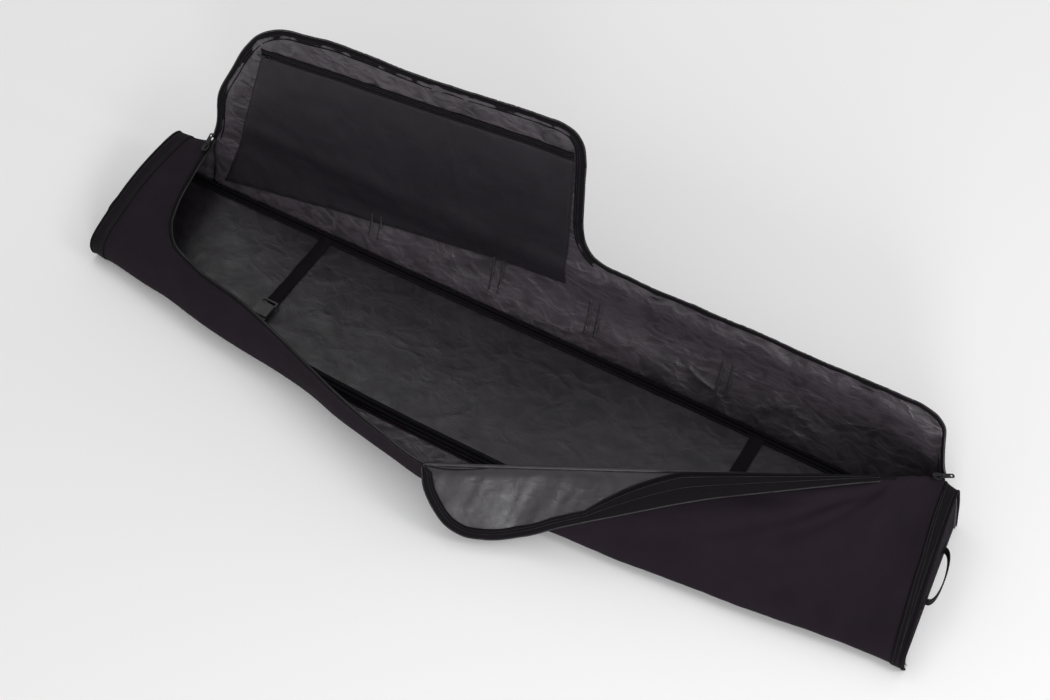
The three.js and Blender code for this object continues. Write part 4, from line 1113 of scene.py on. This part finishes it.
pocket_loop = np.vstack([pocket_corners, pocket_corners[:1]])
pocket_outline = even_path(pocket_loop, 0.008)[:-1]
pocket_verts, pocket_faces = fill_outline(pocket_outline, 0.007)
pocket_rim = distance_to(pocket_verts, pocket_loop)
pocket_places = np.column_stack([pocket_verts[:, 0], np.zeros(len(pocket_verts)), pocket_verts[:, 1]])
bag = ramped(pocket_rim, 0.05) ** 0.7
crease_line = bell(pocket_verts[:, 0] + 0.2 * (pocket_verts[:, 1] - 0.3), -0.19, 0.005)
slack = field(pocket_places * np.array((1, 1, 1.3)), 5, 31, 3) + 0.5 * field(pocket_places, 14, 32, 2)
pocket_lift = MM * bag * (3.4 + 3.2 * slack + 1.2 * crease_line)
piece = Piece("pocket_cloth", POCKET, THREAD, TAPE)
pocket_points = over_lining(pocket_verts, pocket_lift)
piece.solid(pocket_points, -lining_normal(pocket_verts), pocket_faces, -0.0010, 0.0, pocket_verts)
for start, end, inset in ((0, 1, (0, 0.004)), (1, 2, (-0.004, 0)), (3, 0, (0.004, 0))):
    a, b = pocket_corners[start], pocket_corners[end]
    seam = even_path([a + inset, b + inset], STITCH_STEP)
    piece.stitches(over_lining(seam, 0.0017), lining_normal(seam))
    piece.tube(over_lining(even_path([a, b], 0.008), 0.0003), 0.0013, 6, 0, up=(0, 1, 0))
piece.make(blend=FOLD_BLEND, slot="pocket_cloth", replaces=["pocket_panel"])

top_left, top_right = pocket_corners[3], pocket_corners[2]
pocket_top = even_path([top_left + (0, 0.0004), top_right + (0, 0.0004)], 0.008)
zip_up = unit(np.array((-(top_right - top_left)[1], (top_right - top_left)[0])))


def along_pocket_zip(height, step):
    return even_path([pocket_top[0] + zip_up * height, pocket_top[-1] + zip_up * height], step)


piece = Piece("pocket_zip_tape", TAPE, COIL, THREAD)
for low, high in ((0.0, 0.0068), (0.0092, 0.016)):
    ws = np.linspace(low, high, 3)
    ab = pocket_top[:, None, :] + zip_up * ws[None, :, None]
    uvs = spread(length_along(pocket_top), ws).reshape(-1, 2)
    piece.solid(over_lining(ab).reshape(-1, 3), -lining_normal(ab).reshape(-1, 3),
                grid_faces(len(pocket_top), 3), -0.0012, 0.0, uvs)
for height in (0.0025, 0.0135):
    line = along_pocket_zip(height, STITCH_STEP)
    piece.stitches(over_lining(line, 0.0014), lining_normal(line), 2)
line = along_pocket_zip(0.008, 0.0018)
place = over_lining(line)
piece.bars(place, over_lining(line + zip_up * MM) - place, lining_normal(line), 0.0040, 0.0011, 0.0022, 1)
piece.make("far_flap", slot="zip_tape", replaces=["pocket_zip"])

# ---------------------------------------------------------------- ends: bands, panels and loop handles


def end_profile(side, x, offset=0.0):
    """Points and outward normals round the bag at x, from the near foot over the top to the far foot."""
    if side > 0:
        s = wrap_right.b
        return wrap_right.at(x, s, offset), wrap_right.normal(x, s)
    s = WRAP_S
    v = np.clip(s - 1, 0, 1)
    span = np.where(s <= 1, CAP_SPAN, np.where(s >= 2, FAR_SPAN, zip_line(v)[:, 0] + END_X * MM))
    u = (x + END_X * MM) / span
    return wrap.at(u, s, offset), wrap.normal(u, s)


# where each band's inner edge lies, from the near side to the far side, before the slant
BAND_OUTER = 0.8118
BAND_INNER = {"left": (0.778, 0.778, 0.778), "right": (0.797, 0.789, 0.772)}

for side, word in ((-1, "left"), (1, "right")):
    piece = Piece(f"end_binding_{word}", WEBBING, THREAD)
    middle, _ = end_profile(side, 0.79 * side)
    inner = np.interp(middle[:, 1], [-0.15, 0.0, 0.15], BAND_INNER[word])
    shares = np.linspace(0, 1, 6)
    rings = [end_profile(side, side * (inner + (BAND_OUTER - inner) * share)) for share in shares]
    points = np.stack([ring[0] for ring in rings])
    normals = np.stack([ring[1] for ring in rings])
    points[..., 2] = np.maximum(points[..., 2], 0.0)
    uvs = spread(side * 0.034 * shares, length_along(points[3]))[..., ::-1]
    piece.solid(points.reshape(-1, 3), normals.reshape(-1, 3), grid_faces(*points.shape[:2]), 0.0002, 0.0016,
                uvs.reshape(-1, 2))
    rim, _ = end_profile(side, np.full(len(middle), 0.8095 * side), 0.0008)
    rim[:, 2] = np.maximum(rim[:, 2], 0.003)
    piece.tube(rim, 0.0028, 8)
    for inset in (0.003, 0.008, -0.008):
        at_x = inner + inset if inset > 0 else np.full(len(inner), BAND_OUTER + inset)
        row, row_normal = end_profile(side, side * at_x, 0.0017)
        dense = even_path(np.column_stack([row, row_normal]), STITCH_STEP)
        at, n = dense[:, :3], unit(dense[:, 3:])
        keep = at[:, 2] > 0.004
        piece.bars(at[keep], np.gradient(at, axis=0)[keep], n[keep], 0.0031, 0.0008, 0.0005, 1)
    piece.make("shell", slot="webbing", replaces=[f"end_band_{word}"])

    outline, _ = end_profile(side, np.full(len(middle), 0.809 * side), -0.0022)
    outline = even_path(outline, 0.006)[:, 1:]
    outline[:, 1] = np.maximum(outline[:, 1], 0.0012)
    bottom = even_path([outline[-1], outline[0]], 0.006)[1:-1]
    ring = np.concatenate([outline, bottom])
    if side < 0:
        ring = ring[::-1]
    verts, faces = fill_outline(ring, 0.006)
    depth = distance_to(verts, np.vstack([ring, ring[:1]]))
    places = np.column_stack([np.zeros(len(verts)), verts])
    puff = (-0.0035 + 0.0022 * field(places, 12, 41 + side, 3)) * ramped(depth, 0.03)
    points = slanted(np.column_stack([side * (0.8085 + puff), verts]))
    piece = Piece(f"end_face_{word}", OUTER)
    normals = np.tile((side, 0, 0), (len(verts), 1)).astype(float)
    piece.solid(points, normals, faces, -0.0018, 0.0, verts)
    piece.make("shell", slot="outer_cloth", replaces=[f"end_panel_{word}"])

    angles = np.linspace(0, math.pi, 49)
    y = (6 - side * 52 * np.cos(angles)) * MM
    x = side * (END_X + 2 + 16 * np.sin(angles) ** 0.7) * MM
    loop = slanted(np.column_stack([x, y, np.full(len(angles), 0.048) - 0.002 * np.sin(angles)]))
    piece = Piece(f"end_loop_{word}", WEBBING, THREAD)
    piece.strip(loop, (0, 0, 1), 0.0180, 0.0020)
    for end in (0, -1):
        foot = loop[end]
        inward = 1 if foot[1] < 0.006 else -1
        tab = np.array([foot + (-side * 0.0012, -inward * k * 0.006, 0) for k in range(-1, 3)])
        piece.strip(tab, (0, 0, 1), 0.0180, 0.0018)
    for k in (-0.007, 0.007):
        dense = even_path(loop + (0, 0, k), STITCH_STEP)
        out = np.column_stack([np.gradient(dense[:, 1]), -np.gradient(dense[:, 0]), np.zeros(len(dense))])
        out *= np.sign(out[len(out) // 2, 0]) * side
        piece.stitches(dense + unit(out) * 0.0013, out)
    piece.make(f"end_handle_{word}", slot="webbing", replaces=[f"end_handle_{word}"])

# ---------------------------------------------------------------- outside webbing, sewn through the lining

BACK_WEBBING = {"ring_webbing_left": -0.36, "handle_webbing_left": -0.10, "handle_webbing_right": 0.10,
                "ring_webbing_right": 0.36}

piece = Piece("lining_bartacks", LIT_LINING, THREAD)
for x in BACK_WEBBING.values():
    for k in (-0.0095, 0.0095):
        seam = np.column_stack([np.full(24, x + k), np.linspace(0.040, 0.112, 24)])
        ridge = over_lining(seam)
        piece.strip(ridge, (1, 0, 0), 0.0052, 0.0048)
        dense = even_path(np.column_stack([ridge, lining_normal(seam)]), 0.0021)
        at, n = dense[:, :3], unit(dense[:, 3:])
        piece.bars(at + n * 0.0027, (1.0, 0, 0.25), n, 0.0040, 0.0009, 0.0006, 1)
piece.make("shell", slot="lining_cloth")

# ---------------------------------------------------------------- padded floor and base cloth

base_xs = np.linspace(-0.805, 0.805, 230)
near_foot = np.interp(base_xs / MM, near_table[:, 0], near_table[:, 1]) * MM
far_foot = np.interp(base_xs / MM, far_table[:, 0], far_table[:, 1]) * MM
shares = np.linspace(0, 1, 42)


def floor_grid(inset):
    ys = near_foot[:, None] + inset + (far_foot - near_foot - 2 * inset)[:, None] * shares[None, :]
    return np.stack([np.broadcast_to(base_xs[:, None], ys.shape), ys], axis=-1)


piece = Piece("base_cloth", OUTER)
flat = floor_grid(0.0005)
points = slanted(np.dstack([flat, np.zeros(flat.shape[:2])]).reshape(-1, 3))
up = np.tile((0.0, 0.0, 1.0), (len(points), 1))
piece.solid(points, up, grid_faces(*flat.shape[:2]), 0.0, 0.0022, flat.reshape(-1, 2))
piece.make("shell", slot="outer_cloth", replaces=["base_panel"])

pad = floor_grid(0.009)
rim = np.minimum(np.minimum(shares, 1 - shares)[None, :] * 0.3,
                 (np.minimum(base_xs + 0.805, 0.805 - base_xs))[:, None] * 0.6)
crown = np.sqrt(ramped(rim, 0.02))
pad_places = np.dstack([pad, np.zeros(pad.shape[:2])])
quilt = 0.0016 * field(pad_places, 7, 51, 3) - 0.0006 * field(pad_places, 12, 52, 2, ridged=True)
height = 0.0052 + crown * (0.0042 + quilt)
piece = Piece("floor_pad", SHADED_LINING)
points = slanted(np.dstack([pad, height]).reshape(-1, 3))
piece.solid(points, np.tile((0.0, 0.0, 1.0), (len(points), 1)), grid_faces(*pad.shape[:2]),
            -(points[:, 2] - 0.0026), 0.0, pad.reshape(-1, 2))
floor_pad = piece.make("shell", slot="lining_cloth", replaces=["base_foam", "base_lining"])

for word, foot, inward in (("near", near_foot, 1), ("far", far_foot, -1)):
    piece = Piece(f"floor_cord_{word}", TAPE, THREAD)
    line = slanted(np.column_stack([base_xs, foot + inward * 0.012, np.full(len(base_xs), 0.0122)])[3:-3])
    piece.tube(line, 0.0030, 8)
    piece.tube(line + (0, inward * 0.0085, -0.0006), 0.0026, 8)
    piece.strip(line + (0, inward * 0.007, -0.0022), (0, 1, 0), 0.019, 0.0012)
    piece.stitches(even_path(line + (0, inward * 0.0135, -0.0014), STITCH_STEP), (0.0, 0, 1))
    piece.make("shell", slot="zip_tape", replaces=[f"floor_piping_{word}"])


# ---------------------------------------------------------------- hardware from the CAD, with eased edges


def eased(node, material, width, segments=2):
    """The CAD node's own shape with its edges eased."""
    source = frame["nodes"][node]
    mesh = source.data.copy()
    mesh.materials.clear()
    mesh.materials.append(material)
    edit = bmesh.new()
    edit.from_mesh(mesh)
    bmesh.ops.remove_doubles(edit, verts=edit.verts, dist=1e-6)
    bmesh.ops.dissolve_limit(edit, angle_limit=math.radians(1), verts=edit.verts, edges=edit.edges)
    sharp = [e for e in edit.edges if len(e.link_faces) == 2 and e.calc_face_angle(0) > math.radians(25)]
    bmesh.ops.bevel(edit, geom=sharp, offset=width, segments=segments, affect="EDGES", clamp_overlap=True)
    bmesh.ops.recalc_face_normals(edit, faces=edit.faces)
    edit.to_mesh(mesh)
    edit.free()
    mesh.polygons.foreach_set("use_smooth", np.full(len(mesh.polygons), False))
    obj = bpy.data.objects.new(f"{node}_shaped", mesh)
    scene.collection.objects.link(obj)
    body = next(name for name, nodes in frame["record"]["behaviour"]["bodies"].items() if node in nodes)
    return settle(obj, body, None, [node])


for node in ("pocket_slider", "pocket_pull", "zip_slider_left", "zip_slider_right", "zip_pull_left",
             "zip_pull_right"):
    eased(node, METAL, 0.00035)
for node in ("buckle_socket_left", "buckle_socket_right", "buckle_plug_left", "buckle_plug_right"):
    eased(node, PLASTIC, 0.0009, 3)

# ---------------------------------------------------------------- hold-down straps

WEBBING_WIDTH = 0.0245


def hold_down(node, x, low, high, looped):
    """A webbing half of a hold-down strap: sewn to the floor at its foot, rising to the buckle."""
    ys = np.linspace(low[1], high[1], 30)
    share = (ys - ys[0]) / (ys[-1] - ys[0])
    share = share if looped > 0 else 1 - share
    z = low[2] + 0.0022 + 0.0045 * ramped(share - 0.86, 0.14) ** 2 + 0.0008 * np.sin(share * 17)
    piece = Piece(f"{node}_webbing", WEBBING, THREAD)
    piece.strip(np.column_stack([np.full(30, x), ys, z]), (1, 0, 0), WEBBING_WIDTH, 0.0017)
    foot = ys[0] if looped > 0 else ys[-1]
    for k in range(4):
        across = x + np.linspace(-0.010, 0.010, 7)
        y = foot + looped * (0.004 + 0.005 * k)
        rows = np.column_stack([across, np.full(7, y), np.full(7, low[2] + 0.0032)])
        piece.bars(rows, (1.0, 0, 0), (0.0, 0, 1), 0.0026, 0.0007, 0.0005, 1)
    return piece


for word, x in (("left", -0.450), ("right", 0.450)):
    node = f"strap_near_{word}"
    hold_down(node, x, *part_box(node), 1).make("shell", slot="webbing", replaces=[node])
    node = f"strap_far_{word}"
    low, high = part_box(node)
    hold_down(node, x, low, high, -1).make(
        blend=("shell", f"buckle_plug_{word}", (x, high[1] - 0.01, 0.01), (x, low[1] + 0.004, 0.01)),
        slot="webbing", replaces=[node])

# ---------------------------------------------------------------- outside of the far wall

HINGE = np.array((0, 191.5, 106)) * MM
for node, x in BACK_WEBBING.items():
    low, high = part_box(node)
    zs = np.linspace(low[2], high[2], 40)
    line = far.at(np.full(40, x), zs, 0.0019)
    piece = Piece(f"{node}_strip", WEBBING, THREAD)
    piece.strip(line, (1, 0, 0), WEBBING_WIDTH, 0.0018)
    for k in (-0.0095, 0.0095):
        piece.stitches(even_path(far.at(np.full(40, x + k), zs, 0.0030), STITCH_STEP), (0.0, 1, 0))
    piece.make("shell", slot="webbing", replaces=[node])

HALF_HANDLE = [(100, 2), (99, -12), (94, -40), (78, -66), (50, -81), (20, -84.5)]
handle = [(-x, z) for x, z in HALF_HANDLE] + HALF_HANDLE[::-1]
handle = smooth_line(np.array(handle) * MM, count=90)
line = np.column_stack([handle[:, 0], np.full(len(handle), HINGE[1]), HINGE[2] + handle[:, 1]])
tangent = np.gradient(line, axis=0)
across = np.cross(tangent, (0, 1.0, 0))
piece = Piece("carry_handle_webbing", WEBBING, THREAD)
piece.strip(line, across, WEBBING_WIDTH, 0.0020)
for k in (-0.009, 0.009):
    piece.stitches(even_path(line + unit(across) * k + (0, 0.0012, 0), STITCH_STEP), (0.0, 1, 0))
piece.make("carry_handle", slot="webbing", replaces=["carry_handle"])

low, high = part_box("handle_wrap")
centre, half = (np.array(low) + np.array(high)) / 2, (np.array(high) - np.array(low)) / 2
SIDES, RINGS = 28, 41
angles = np.linspace(0, 2 * math.pi, SIDES + 1)[:-1]
xs = np.linspace(-1, 1, RINGS)
swell = (1 - np.abs(xs) ** 8) ** 0.5 * (1 + 0.02 * np.sin(xs * 21))
SQUARENESS = 0.62
ring_y, ring_z = (np.sign(w) * np.abs(w) ** SQUARENESS for w in (np.cos(angles), np.sin(angles)))
shape = np.clip(0.72 + 0.28 * swell, 0, 1)
rings = np.stack([np.broadcast_to((centre[0] + half[0] * xs)[:, None], (RINGS, SIDES)),
                  centre[1] + half[1] * 1.5 * shape[:, None] * ring_y[None, :],
                  centre[2] + half[2] * shape[:, None] * ring_z[None, :]], axis=-1)
piece = Piece("handle_grip", POCKET, THREAD)
piece.add(rings, ring_faces(RINGS, SIDES), spread(half[0] * xs, angles * 0.012))
seam = np.column_stack([centre[0] + half[0] * np.linspace(-0.94, 0.94, 18),
                        np.full(18, centre[1] + half[1] * 1.5 + 0.0002), np.full(18, centre[2] - 0.004)])
piece.bars(seam, (1.0, 0, 0), (0.0, 1, 0), *STITCH, 1)
grip = piece.make("carry_handle", slot="pocket_cloth", replaces=["handle_wrap"])

for word, x in (("left", -0.36), ("right", 0.36)):
    arc = np.linspace(math.pi, 2 * math.pi, 25)
    outline = [(-17.5, 0), *[(17.5 * math.cos(a), -6 + 17.5 * math.sin(a)) for a in arc], (17.5, 0)]
    loop = even_path(np.array(outline + [outline[0]]) * MM, 0.0022)[:-1]
    path = np.column_stack([x + loop[:, 0], np.full(len(loop), HINGE[1]), HINGE[2] + loop[:, 1]])
    piece = Piece(f"d_ring_{word}", METAL)
    piece.tube(path, 0.0018, 10, up=(0, 1, 0), closed=True)
    piece.make(f"ring_{word}", slot="metal", replaces=[f"ring_{word}"])
    turn = np.linspace(-0.5 * math.pi, 1.5 * math.pi, 33)
    around = HINGE + np.column_stack([np.full(33, x), 0.0036 * np.cos(turn), 0.0036 * np.sin(turn)])
    piece = Piece(f"ring_loop_{word}", WEBBING)
    piece.strip(around, (1, 0, 0), 0.022, 0.0014)
    piece.make("shell", slot="webbing", replaces=[f"ring_eye_{word}"])

# ---------------------------------------------------------------- floor of the studio

bpy.ops.mesh.primitive_plane_add(size=12, location=(0, 0, -0.0005))
floor = bpy.context.object
floor.name = "studio_floor"
paper = bpy.data.materials.new("paper")
paper.use_nodes = True
paper_shader = paper.node_tree.nodes["Principled BSDF"]
paper_shader.inputs["Base Color"].default_value = (0.94, 0.94, 0.94, 1)
paper_shader.inputs["Roughness"].default_value = 0.8
floor.data.materials.append(paper)
